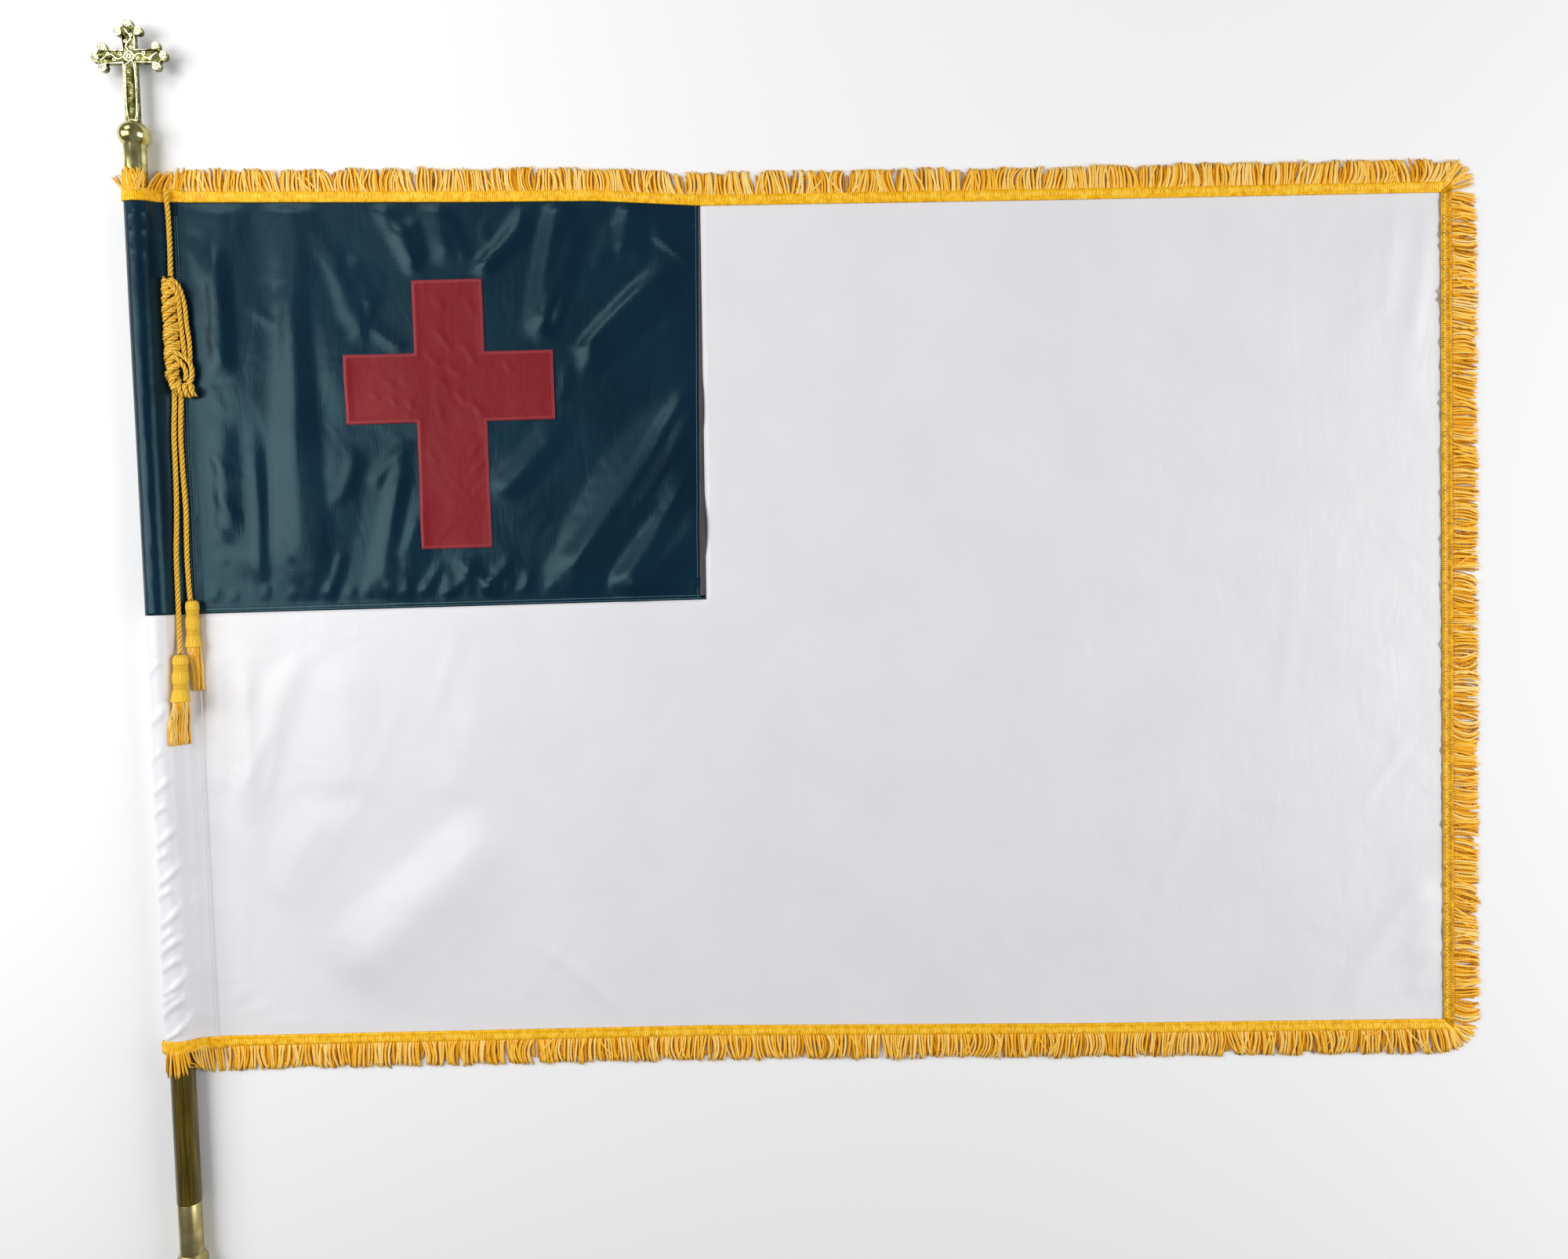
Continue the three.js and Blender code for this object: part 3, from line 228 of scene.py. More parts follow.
def rope(route, thick=ROPE_THICK, lay=ROPE_LAY, phase=0.0):
    """Three strands laid round a line. Marks: how far out of the groove each point is, which paints the grooves' shade,
    and where on its yarns.
    """
    line, at = along_line(route, ROPE_STEP)
    _, side, up = frames(line)
    radius = thick / 2
    strands, depth, yarn = [], [], []
    for k in range(3):
        turn = (2 * math.pi * at / lay + phase + 2 * math.pi * k / 3)[:, None]
        out = side * np.cos(turn) + up * np.sin(turn)
        middle = line + out * radius * 0.5
        ahead = unit(np.gradient(middle, axis=0))
        across = unit(out - ahead * (out * ahead).sum(1, keepdims=True))
        over = np.cross(ahead, across)
        angle = 2 * math.pi * np.arange(ROPE_SIDES) / ROPE_SIDES
        ring = middle[:, None] + radius * 0.52 * (
            across[:, None] * np.cos(angle)[:, None] + over[:, None] * np.sin(angle)[:, None])
        strands.append(ring)
        depth.append(np.linalg.norm(ring - line[:, None], axis=2) / radius)
        yarn.append(at[:, None] / YARN_LAY + angle[None] * 3 / (2 * math.pi))
    points, faces = skin(np.stack(strands))
    return points, faces, {"groove": np.stack(depth).ravel(), "yarn": np.stack(yarn).ravel()}


# Rayon rope: spun viscose with a satin shine, bright yellow on the strands; the brown toward the grooves is painted
# shade.
RAYON_SHINE = linear("#ffd98a")
rope_rayon, tree, shader = material("gold_rayon_rope", Roughness=0.5, Specular_IOR_Level=0.3,
                                    Specular_Tint=RAYON_SHINE)
coloured(tree, shader, mark(tree, "groove"),
         [(0.0, "#3e2004"), (0.52, "#7c4404"), (0.7, "#d88e0c"), (0.85, "#ffb81c"), (1.0, "#ffdc6c")])
bumped(tree, shader, waves(tree, mark(tree, "yarn")), 0.6, 0.0004)


def used_only(points, faces, marks=None):
    """Drops the points that no face uses."""
    used = np.unique(np.concatenate([np.asarray(f) for f in faces]))
    fresh = np.full(len(points), -1)
    fresh[used] = np.arange(len(used))
    return points[used], [[int(fresh[i]) for i in f] for f in faces], {
        key: values[used] for key, values in (marks or {}).items()}


def rope_piece(name, runs, between=(-math.inf, math.inf)):
    """Runs of rope joined into one mesh: each a route, with its own thickness, lay and phase if given.
    Only the part between two places along the pole is kept."""
    points, faces, marks = joined([rope(route, **settings) for route, settings in runs])
    kept = [face for face in faces if between[0] <= points[face[0], 1] < between[1]]
    points, kept, marks = used_only(points, kept, marks)
    return piece(name, points, kept, rope_rayon, marks)


def route_length(route):
    """How long a rope along a route is, in metres."""
    return float(running_length(along_line(route, 1.0)[0])[-1]) * MM


upper_rope = rope_piece("rope_to_bundle", [(UPPER_ROUTE, {})])
left_rope = rope_piece("rope_to_left_tassel", [(LEFT_ROUTE, {"phase": 1.0})])
right_rope = rope_piece("rope_to_right_tassel", [(RIGHT_ROUTE, {"phase": 2.2})])
for made, node in ((upper_rope, "cord_upper"), (left_rope, "cord_left"), (right_rope, "cord_right")):
    fitted(made, "gold_rope", node)


# Rope bundle. The spare rope is wound round itself into a column, like a hank, with two loops over its
# top and a last wrap round its foot. It lies on the sleeve's fly side and is pressed flat there.
COLUMN_LEFT = [(494, -853), (488, -857.5), (476, -859), (450, -859.4), (424, -858.7), (396, -858.1),
               (369, -858.1), (353, -856.2), (338, -852.9)]
COLUMN_RIGHT = [(494, -843), (488, -839.5), (463, -838.6), (442, -839.7), (423, -839.3), (401, -839.7),
                (382, -840), (364, -841.6), (348, -839), (338, -841)]
COLUMN_TOP, COLUMN_FOOT = 490.0, 338.0
COLUMN_PITCH = 38.0
COLUMN_Z = 13.6
COLUMN_HALF = 6.2  # half its thickness off the sleeve
BUNDLE_MIDDLE = 411  # where it is split, so that each half stays near its cord


def by_table(rows, places):
    """The values at some places that rows of (place, value) give."""
    table = sorted(rows)
    return np.interp(places, [r[0] for r in table], [r[1] for r in table])


def wound_column(phase):
    """A rope wound as a helix inside the column's two edges, flattened against the sleeve."""
    y = np.arange(COLUMN_TOP, COLUMN_FOOT, -1.2)
    left, right = by_table(COLUMN_LEFT, y) + ROPE_THICK / 2, by_table(COLUMN_RIGHT, y) - ROPE_THICK / 2
    turn = 2 * math.pi * (COLUMN_TOP - y) / COLUMN_PITCH + phase
    x = (left + right) / 2 + (right - left) / 2 * np.cos(turn)
    lean = np.interp(x, [-859, -838], [2.2, -2.0])
    z = COLUMN_Z + lean + COLUMN_HALF * np.sin(turn)
    return np.stack([x, y, z], axis=1)[::3]


BUNDLE_RUNS = [
    (wound_column(0.0), {"lay": 20, "thick": 7.4}),
    (wound_column(2.1), {"lay": 20, "thick": 7.4, "phase": 1.5}),
    (wound_column(4.2), {"lay": 20, "thick": 7.4, "phase": 2.6}),
    ([(-855, 462, 12), (-855.5, 474, 14), (-854.8, 482, 16), (-849.5, 487.3, 17), (-841, 486, 15.5),
      (-836, 477.5, 12.5), (-833.4, 466, 10.5), (-831.4, 452, 9.4), (-830.6, 430, 8.8), (-828.6, 408, 8.2),
      (-828.4, 386, 8), (-829.5, 376, 8)], {"thick": 6.4}),
    ([(-852, 464, 17), (-851.8, 473, 18.5), (-848, 480, 19.5), (-842, 478.4, 17.5), (-838.4, 469.5, 15),
      (-837.5, 455, 13.4), (-837, 436, 12.6), (-835.6, 412, 12), (-834.4, 392, 11.6), (-834.8, 380, 11)],
     {"thick": 6.4, "phase": 0.8}),
    ([(-848, 392, 19), (-841.8, 389, 18.4), (-833.8, 384.1, 15), (-827.4, 375.5, 11.5), (-825.6, 364.8, 10.4),
      (-827.2, 355, 10), (-832, 346, 11.5)], {"thick": 6.6, "phase": 0.4}),
    ([(-848, 384, 18.5), (-842.1, 381.6, 18), (-836.9, 376, 15.6), (-833.6, 368.5, 13.2), (-833, 360, 12),
      (-834.5, 352, 12)], {"thick": 6.2, "phase": 1.9}),
]


def lobe_wraps():
    """The last wraps: a helix about a sideways axis, that ends in a knob on the fly side."""
    turn = np.arange(0, 2 * math.pi * 3.6, 0.32)
    share = turn / turn[-1]
    x = np.interp(share, [0, 1], [-850.5, -823.5])
    centre_y = np.interp(share, [0, 0.4, 1], [343.5, 340, 338.4])
    half = np.interp(share, [0, 0.3, 0.8, 1], [6.5, 7.6, 7.4, 5.2])
    z = np.interp(share, [0, 1], [12.6, 9.2])
    return np.stack([x, centre_y + half * np.cos(turn), z + half * 0.74 * np.sin(turn)], axis=1)


BUNDLE_RUNS.append((lobe_wraps(), {"thick": 6.6, "lay": 18}))
for wrap_y, wrap_phase in ((452, 0.3), (421, 1.4), (413.5, 2.2), (396, 0.7), (389, 2.8), (366, 1.1)):
    BUNDLE_RUNS.append(([
        (-857.6, wrap_y - 12, 10), (-857.4, wrap_y - 8, 15), (-854.5, wrap_y - 4, 19.6), (-849, wrap_y, 21),
        (-843.6, wrap_y + 4, 18.6), (-840.6, wrap_y + 7.5, 13.5), (-840.6, wrap_y + 10.5, 9.5),
    ], {"thick": 6.2, "lay": 19, "phase": wrap_phase}))
bundle_top = rope_piece("rope_bundle_top", BUNDLE_RUNS, (BUNDLE_MIDDLE, math.inf))
bundle_foot = rope_piece("rope_bundle_foot", BUNDLE_RUNS, (-math.inf, BUNDLE_MIDDLE))
for made in (bundle_top, bundle_foot):
    fitted(made, "gold_rope", "cord_knot")


# Cloth's lie. The nylon rests on the floor in soft ridges that fade at their ends, as in the solids, and
# rises over the pole from the sleeve's seam, 44 mm from the pole's axis. A fold is a row of its two ends'
# places, its bow, its half width at each end, and its height.
CLOTH = 1.2  # the height of the cloth's upper face where it lies flat
POLE_X = -882.0
POLE_Z = 20.5
TOP_EDGE = [(-838, 597), (-437, 587), (-265, 584), (-126, 574), (350, 569), (900, 565)]
BOTTOM_EDGE = [(-838, -566), (-151, -572), (406, -586), (900, -595)]
CANTON_FOLDS = [
    (-686, 566, -694, 40, 0, 18, 44, 9), (-796, 560, -790, 345, 5, 16, 20, 6),
    (-790, 318, -789, 120, -3, 20, 18, 5), (-753, 300, -752, 48, 6, 10, 14, 3.5),
    (-640, 545, -590, 395, 6, 14, 18, 4), (-536, 568, -512, 497, 0, 18, 12, 4),
    (-355, 562, -432, 492, 4, 16, 12, 4), (-290, 572, -350, 398, 8, 16, 14, 5),
    (-176, 482, -300, 368, -6, 16, 15, 6), (-196, 546, -132, 492, 0, 9, 9, 4),
    (-134, 356, -352, 50, 22, 14, 26, 6), (-136, 236, -262, 42, 8, 16, 20, 6),
    (-540, 262, -588, 42, 0, 12, 22, 5), (-484, 104, -412, 42, 0, 10, 12, 3),
]
FIELD_FOLDS = [
    (-776, 12, -784, -278, 0, 22, 22, 5), (-738, -112, -800, -240, 4, 8, 8, 2.5),
    (-670, 10, -786, -365, -34, 24, 32, 5), (-800, -330, -806, -540, 4, 14, 10, 3),
    (-390, -236, -690, -502, 8, 46, 50, 7), (-400, -436, -258, -560, 6, 10, 12, 3),
    (-96, 556, -104, 330, 4, 10, 12, 3), (-104, 300, -108, 60, -4, 12, 12, 3.5),
    (748, -578, 878, -392, 6, 20, 22, 5), (878, 562, 858, 350, 4, 12, 14, 2.6),
    (836, 562, 818, 388, 3, 12, 14, 2.4), (690, 520, 682, 330, 0, 18, 22, 1),
]
SLEEVE_FRONT = [(44, 2.7), (38, 3.2), (34, 4.6), (28, 8), (23, 12.5), (19.5, 18)]
SLEEVE_BACK = [(-17.2, 10), (-16.3, 3), (-12, 0.1), (12, 0.1), (43, 0.1)]
SLEEVE_RADIUS = 17.1
SLEEVE_PULL = 8.0  # how far the sleeve's ends are drawn back where it is highest
SLEEVE_CELL = 3.4
SECTION_STEP = 3.0
SECTION_SEEN = 18  # places of the sleeve's section that are not under the pole
CREST = 0.16  # how round a fold's crest is, as a share of its half width
FOOT = 0.12  # where a fold's flank starts to run out, as a share of its height


def eased(t):
    """A soft step from 0 to 1."""
    t = np.clip(t, 0, 1)
    return t * t * (3 - 2 * t)


def rise(folds, x, y):
    """How high the cloth stands off the floor at each place."""
    high = np.zeros_like(x)
    for x0, y0, x1, y1, bow, half0, half1, peak in folds:
        long = math.hypot(x1 - x0, y1 - y0)
        ux, uy = (x1 - x0) / long, (y1 - y0) / long
        t = ((x - x0) * ux + (y - y0) * uy) / long
        across = ((x - x0) * -uy + (y - y0) * ux - bow * 4 * t * (1 - t)) / (half0 + (half1 - half0) * t)
        ends = eased(t / 0.3) * eased((1 - t) / 0.18)
        flank = 1 - (np.sqrt(across ** 2 + CREST ** 2) - CREST)
        run_out = FOOT * np.exp(np.minimum(0, (flank - FOOT) / FOOT))
        high += np.where(np.abs(across) < 1.3, peak * ends * np.where(flank > FOOT, flank, run_out), 0)
    return high


def sleeve_section():
    """The sleeve's outer face in section: distance from the pole's axis, and height."""
    angle = np.radians(np.linspace(12, 188, 12))
    arc = np.stack([SLEEVE_RADIUS * np.cos(angle), POLE_Z + SLEEVE_RADIUS * np.sin(angle)], axis=1)
    return np.vstack([SLEEVE_FRONT, arc, SLEEVE_BACK])


def cloth_top(across):
    """The height of the cloth's upper face, at a distance from the pole's axis."""
    line = np.vstack([[(52, CLOTH), (46, 2.7)], sleeve_section()[:SECTION_SEEN]])[::-1]
    return np.interp(across, line[:, 0], line[:, 1])


def pulled_back(across, high):
    """How far the sleeve's end is drawn back over the pole."""
    return np.where(across > 36, 0, SLEEVE_PULL * high / (2 * POLE_Z))


def slackened(hang, high):
    """How far the sleeve sags away from the pole on its outer side, most near the floor."""
    return hang * np.clip((POLE_Z + SLEEVE_RADIUS - high) / 10, 0, 1)


def grid_faces(columns, rows, keep=None):
    """The faces between rows of points, or the ones to keep."""
    at = np.arange(columns * rows).reshape(rows, columns)
    quads = np.stack([at[:-1, :-1], at[:-1, 1:], at[1:, 1:], at[1:, :-1]], axis=-1)
    return (quads.reshape(-1, 4) if keep is None else quads[keep]).tolist()


def breaks(stops, cell):
    """Places from the first stop to the last, at about one cell, that pass through every stop."""
    places = [stops[0]]
    for a, b in zip(stops, stops[1:]):
        count = max(1, round(abs(b - a) / cell))
        places += [a + (b - a) * (k + 1) / count for k in range(count)]
    return np.array(places)


def sleeve_grid(y0, y1, loose, pulled, creases):
    """The tube of cloth round the pole, between two places along it, open at both ends."""
    section, _ = along_line([(x, 0, z) for x, z in sleeve_section()], SECTION_STEP)
    rows = int(abs(y1 - y0) / SLEEVE_CELL) + 1
    y = np.linspace(y0, y1, rows)[:, None] + np.zeros((rows, len(section)))
    across, high = section[None, :, 0] + 0 * y, section[None, :, 2] + 0 * y
    hang = by_table(loose, y)
    slack = np.where((across < -10) & (high > 0.5), slackened(hang, high), 0)
    end = np.clip(1 - np.abs(y - pulled) / 30, 0, 1)
    pull = pulled_back(across, high) * end * math.copysign(1, pulled)
    around = np.arange(len(section))[None] * SECTION_STEP + 0 * y
    lifted = np.where(high > 4, rise(creases, around, y), 0) * np.clip((88 - around) / 22, 0.25, 1)
    out = unit(np.stack([across, high - POLE_Z], axis=-1))
    points = np.stack([POLE_X + across - slack + out[..., 0] * lifted, y - pull, high + out[..., 1] * lifted], axis=-1)
    return points.reshape(-1, 3), [f[::-1] for f in grid_faces(len(section), rows)]


def seam_rise(x):
    """How far a panel's edge is lifted by the sleeve's seam under it."""
    return 1.5 * eased((SEAM_X + 8 - x) / 8)


def thicken(made, thick=0.9):
    """Gives a sheet its thickness below its upper face."""
    solid = made.modifiers.new("thickness", "SOLIDIFY")
    solid.thickness = thick * MM
    solid.offset = -1
    bpy.context.view_layer.objects.active = made
    made.select_set(True)
    bpy.ops.object.modifier_apply(modifier=solid.name)
    made.select_set(False)


# Nylon: woven flag cloth, calendered so it shines softly. The threads, 0.25 mm apart, are too fine to
# show, so they are drawn 0.8 mm apart, and fine creases from folding and packing break up the shine.
THREAD_STEP = 0.0008
WAVE_BANDS = 20  # bands of a wave texture of scale 1 in a metre


def noise(tree, scale, detail=2.0, distortion=0.0, space=None):
    """Uneven values in the object's own space, or in a changed one."""
    place = add(tree, "ShaderNodeTexCoord").outputs["Object"] if space is None else space
    return add(tree, "ShaderNodeTexNoise", {"Scale": scale, "Detail": detail, "Distortion": distortion},
               {"Vector": place}).outputs["Fac"]


def nylon(name, colour, shaded, rough, crumple, gloss=0.5, shine="#ffffff", turned_in=None):
    """Cloth with a colour and its shade in clouds. The rim, where a piece marks it, has a colour of its own."""
    made, tree, shader = material(name, Roughness=rough, Specular_IOR_Level=gloss, Specular_Tint=linear(shine))
    base = ramp(tree, noise(tree, 7.0, 3.0), [(0.35, shaded), (0.62, colour)])
    if turned_in:  # the rim is folded under and sewn, so it is double there and a little lighter
        edge = ramp(tree, mark(tree, "rim"), [(0.0, turned_in), (0.3, turned_in), (0.4, colour), (1.0, colour)])
        base = add(tree, "ShaderNodeMix", {"data_type": "RGBA", 0: 0.3}, {6: base, 7: edge}).outputs[2]
    tree.links.new(base, shader.inputs["Base Color"])
    place = add(tree, "ShaderNodeTexCoord").outputs["Object"]
    stretch = add(tree, "ShaderNodeMapping", {"Rotation": (0, 0, 0.6), "Scale": (1, 0.32, 1)}, {"Vector": place})
    soft = add(tree, "ShaderNodeBump", {"Strength": 1.0, "Distance": crumple * 0.006},
               {"Height": noise(tree, 11.0, 2.0, 0.6, place)})
    finer = add(tree, "ShaderNodeBump", {"Strength": 1.0, "Distance": crumple * 0.0016},
                {"Height": noise(tree, 34.0, 4.0, 1.0, stretch.outputs["Vector"]), "Normal": soft.outputs["Normal"]})
    warp, weft = (add(tree, "ShaderNodeTexWave", {"bands_direction": way, "Scale": 1 / THREAD_STEP / WAVE_BANDS},
                      {"Vector": place}).outputs["Fac"] for way in "XY")
    weave = add(tree, "ShaderNodeMath", {"operation": "MAXIMUM"}, {0: warp, 1: weft})
    threads = add(tree, "ShaderNodeBump", {"Strength": 0.25, "Distance": 0.0001},
                  {"Height": weave.outputs[0], "Normal": finer.outputs["Normal"]})
    tree.links.new(threads.outputs["Normal"], shader.inputs["Normal"])
    return made


# White field: one white nylon panel, cut as an L round the canton. Its pole side is folded over and sewn
# down as the lower half of the sleeve.
CANTON_CORNER = (-130.5, 32.0)
CANTON_TOP_X = -122.0
SEAM_X = POLE_X + 44
FLY_X = 900.0
UNDER_TAPE = 8.0  # how far the cloth runs on under the fringe's tape
FIELD_CELL = 8.0
FIELD_CREASES = [
    (-560, -60, -690, -330, 20, 10, 14, 1.0), (-480, 10, -520, -120, 6, 8, 12, 1.2),
    (-386, -268, -664, -500, 0, 70, 78, 9.4), (-812, 10, -818, -240, 0, 12, 12, 2.5),
    (-646, -20, -640, -240, 0, 44, 50, 3.6), (-640, -236, -748, -392, -16, 44, 40, 4.0),
    (-782, -40, -778, -230, 0, 16, 18, 2.4), (-732, -108, -766, -244, 6, 10, 12, 1.8),
    (-460, -90, -500, -250, 10, 40, 46, 2.4), (-820, -540, -760, -528, 3, 6, 8, 1.8),
    (-826, -520, -780, -498, 3, 6, 8, 1.8), (-822, -486, -790, -480, 2, 6, 7, 1.4),
    (-800, -556, -700, -548, 2, 5, 7, 1.6), (-700, -558, -640, -552, 0, 5, 6, 1.2),
    (872, 500, 850, 250, -6, 26, 30, 1.1), (830, 545, 780, 300, -10, 34, 40, 1.3),
    (890, -470, 850, -560, 6, 14, 16, 2.0), (880, -380, 846, -520, 8, 22, 26, 2.4),
    (-300, -380, -420, -540, 4, 8, 12, 1.4), (-150, -60, -260, -240, 12, 12, 14, 1.0),
    (40, -300, -60, -500, 8, 14, 16, 1.0), (300, -120, 180, -420, -14, 16, 20, 0.9),
    (560, -200, 470, -470, 10, 14, 18, 1.0), (700, 120, 660, -180, 8, 14, 16, 0.8),
    (420, 500, 380, 260, -8, 14, 18, 0.8), (180, 540, 160, 300, 6, 12, 16, 0.8),
    (-40, 200, -70, -40, 8, 12, 16, 1.0), (780, -300, 860, -180, 4, 8, 10, 1.2),
]
GAP = 0.15  # half the gap between the two panels
SLEEVE_LOOSE_WHITE = [(-574, 4), (-480, 3), (-330, 1), (-200, 1.5), (-90, 0), (32, 0)]


def field_height(x, y):
    """The field's upper face. White cloth shows its folds strongly, so they are lower than the solids'."""
    return rise(FIELD_FOLDS, x, y) * 0.6 + rise(FIELD_CREASES, x, y) * 0.8 + CLOTH


def field_grid():
    """The L of the white panel: columns that pass the canton's side edge, rows that pass its lower one."""
    left = breaks([SEAM_X - 3, CANTON_CORNER[0] + GAP], FIELD_CELL)
    right_share = breaks([0, 1], FIELD_CELL / 1038)
    low_share, high_share = breaks([0, 1], FIELD_CELL / 610), breaks([0, 1], FIELD_CELL / 540)[1:]
    columns, rows = len(left) + len(right_share) - 1, len(low_share) + len(high_share)
    x, y = np.zeros((rows, columns)), np.zeros((rows, columns))
    for j in range(rows):
        upper = max(0.0, high_share[j - len(low_share)]) if j >= len(low_share) else 0.0
        corner = CANTON_CORNER[0] + GAP + (CANTON_TOP_X - CANTON_CORNER[0]) * upper
        x[j, :len(left)] = left
        x[j, len(left) - 1:] = corner + (FLY_X + UNDER_TAPE - corner) * right_share
        if upper:
            y[j] = CANTON_CORNER[1] + (by_table(TOP_EDGE, x[j]) + UNDER_TAPE - CANTON_CORNER[1]) * upper
        else:
            low = by_table(BOTTOM_EDGE, x[j]) - UNDER_TAPE
            y[j] = low + (CANTON_CORNER[1] - GAP - low) * low_share[j]
    keep = np.ones((rows - 1, columns - 1), bool)
    keep[len(low_share) - 1:, :len(left) - 1] = False
    points = np.stack([x, y, field_height(x, y) + seam_rise(x)], axis=-1).reshape(-1, 3)
    return used_only(points, grid_faces(columns, rows, keep))[:2]


white_nylon = nylon("white_nylon", "#e6e5e7", "#e3e2e4", 0.36, 0.3)
# The sleeve's copy of the white nylon is a little lighter than the field's: painted light, for the sleeve that stands
# up into the light.
sleeve_nylon_painted_lighter = nylon("white_nylon_painted_lighter", "#eae9ec", "#e6e5e8", 0.42, 0.45)
WHITE_SLEEVE_CREASES = [
    (88, -568, 30, -516, 5, 4, 6, 4.2), (86, -540, 40, -496, -5, 4, 6, 4.0), (89, -516, 52, -490, 0, 4, 5, 3.4),
    (86, -498, 34, -456, 6, 4, 6, 3.8), (88, -470, 46, -440, 0, 4, 5, 3.4), (84, -452, 40, -412, -5, 4, 6, 3.6),
    (88, -424, 54, -400, 3, 4, 5, 3.0), (86, -404, 38, -362, 5, 4, 6, 3.4), (87, -372, 50, -344, -3, 4, 5, 3.0),
    (86, -346, 36, -304, 5, 4, 6, 3.2), (88, -316, 54, -292, 0, 4, 5, 2.6), (85, -290, 42, -256, 4, 4, 6, 3.0),
    (87, -258, 52, -228, -3, 4, 5, 2.6), (85, -220, 46, -188, 3, 4, 6, 2.6), (87, -180, 56, -152, 0, 4, 5, 2.2),
    (84, -124, 44, -84, 5, 5, 6, 2.4), (82, -60, 50, -28, 0, 4, 5, 2.0), (34, -548, 12, -520, 0, 4, 5, 1.6),
    (30, -470, 10, -452, 2, 4, 5, 1.4), (32, -380, 12, -356, -2, 4, 5, 1.4),
]
white_sleeve = sleeve_grid(-574, CANTON_CORNER[1] - GAP, SLEEVE_LOOSE_WHITE, -574, WHITE_SLEEVE_CREASES)
white_field = piece("white_field_cloth", *merge([field_grid(), white_sleeve]), white_nylon)
white_field.data.materials.append(sleeve_nylon_painted_lighter)  # the sleeve gets the lighter copy: painted light for the raised sleeve, brighter than the flat field
for face in list(white_field.data.polygons)[-len(white_sleeve[1]):]:
    face.material_index = 1
thicken(white_field)
fitted(white_field, "white_nylon", "white_field", "white_sleeve")


# Canton: the blue nylon panel, sewn to the white one with a flat seam. Its pole side is the upper half of
# the sleeve. A row of the puckers is a place along the canton's lower seam, a half width and a length.
RED_CROSS = {"left": -620, "right": -331.5, "low": 113, "high": 482.5,
             "west": -523, "east": -426, "south": 287.5, "north": 383}
CROSS_SEAM = 7.0
CANTON_CELL = 5.5
CANTON_TOP_Y = 582
CANTON_CREASES = [
    (-790, 700, -777, 258, 0, 40, 52, 3.8), (-772, 280, -754, 70, -8, 38, 30, 3.0),
    (-716, 700, -620, 284, 0, 26, 62, 4.8), (-622, 316, -692, 40, 8, 46, 32, 3.6),
    (-292, 660, -352, 386, -6, 20, 22, 6.6), (-146, 524, -306, 346, 10, 27, 21, 5.4),
    (-500, 660, -468, 500, 0, 24, 22, 4.0), (-204, 660, -236, 500, 4, 22, 20, 5.6),
    (-100, 340, -330, 20, -32, 36, 36, 8.0), (-100, 170, -256, 26, 0, 34, 30, 7.0),
    (-318, 292, -422, 180, 6, 22, 22, 4.8), (-500, 216, -570, 30, 0, 24, 26, 3.2),
    (-350, 592, -440, 488, 8, 18, 14, 3.3), (-580, 620, -514, 484, 4, 17, 13, 3.6),
    (-826, 548, -802, 480, 0, 8, 9, 1.4), (-812, 428, -790, 382, 4, 7, 8, 1.2),
    (-806, 356, -784, 306, -4, 8, 8, 1.4), (-820, 262, -788, 214, 6, 9, 9, 1.6),
    (-800, 208, -772, 160, -6, 9, 9, 1.6), (-818, 148, -796, 96, 4, 8, 9, 1.4),
    (-744, 452, -712, 424, 0, 7, 7, 1.2), (-720, 168, -700, 96, 4, 8, 9, 1.6),
    (-660, 560, -612, 420, 8, 12, 12, 2.2), (-604, 524, -566, 446, -8, 12, 10, 2.0),
    (-605, 468, -580, 428, 10, 7, 7, 2.0), (-585, 430, -535, 388, -4, 10, 9, 2.2),
    (-520, 575, -500, 505, 0, 8, 8, 1.4), (-470, 572, -446, 505, 4, 9, 9, 1.6),
    (-424, 566, -404, 505, -4, 8, 9, 1.4), (-250, 560, -270, 490, 6, 11, 12, 1.6),
    (-205, 556, -214, 492, 4, 9, 10, 1.4), (-135, 430, -180, 404, 0, 7, 8, 1.2),
    (-135, 392, -178, 376, 0, 6, 8, 1.2), (-315, 372, -328, 308, 6, 8, 10, 1.6),
    (-160, 232, -228, 142, 8, 9, 12, 1.8), (-152, 78, -190, 46, 4, 8, 9, 1.4),
    (-135, 128, -160, 84, 4, 7, 8, 1.4), (-400, 104, -444, 48, 6, 9, 9, 2.6),
    (-446, 108, -500, 45, 8, 10, 9, 2.8), (-498, 98, -532, 48, 4, 8, 8, 2.2),
    (-420, 92, -440, 58, 8, 5, 5, 1.6), (-524, 262, -590, 196, -8, 11, 12, 2.2),
    (-612, 262, -640, 176, 8, 12, 13, 2.0), (-632, 120, -662, 45, 4, 9, 9, 2.2),
    (-528, 168, -556, 96, 4, 7, 8, 1.4), (-372, 84, -396, 46, 4, 8, 8, 1.8),
]
CANTON_PUCKERS = [
    (-815, 10, 26), (-790, 8, 18), (-745, 9, 24), (-708, 8, 20), (-682, 10, 28), (-655, 8, 22), (-628, 9, 20),
    (-602, 8, 28), (-575, 10, 22), (-548, 8, 30), (-520, 9, 24), (-492, 8, 34), (-462, 9, 28), (-436, 8, 24),
    (-408, 10, 30), (-380, 8, 24), (-348, 9, 20), (-318, 8, 26), (-285, 9, 22), (-258, 8, 28), (-230, 9, 22),
    (-200, 8, 26), (-172, 9, 20), (-148, 8, 18),
]
SLEEVE_LOOSE_BLUE = [(32, 0), (300, 0), (450, 0.4), (605, 0)]


def canton_held(x, y):
    """How far the folds rise near the sewn edges, from 0 at the tape to 1 in the open cloth."""
    return eased((by_table(TOP_EDGE, x) - 1 - y) / 12) * (0.4 + 0.6 * eased((y - CANTON_CORNER[1] - 4) / 16))


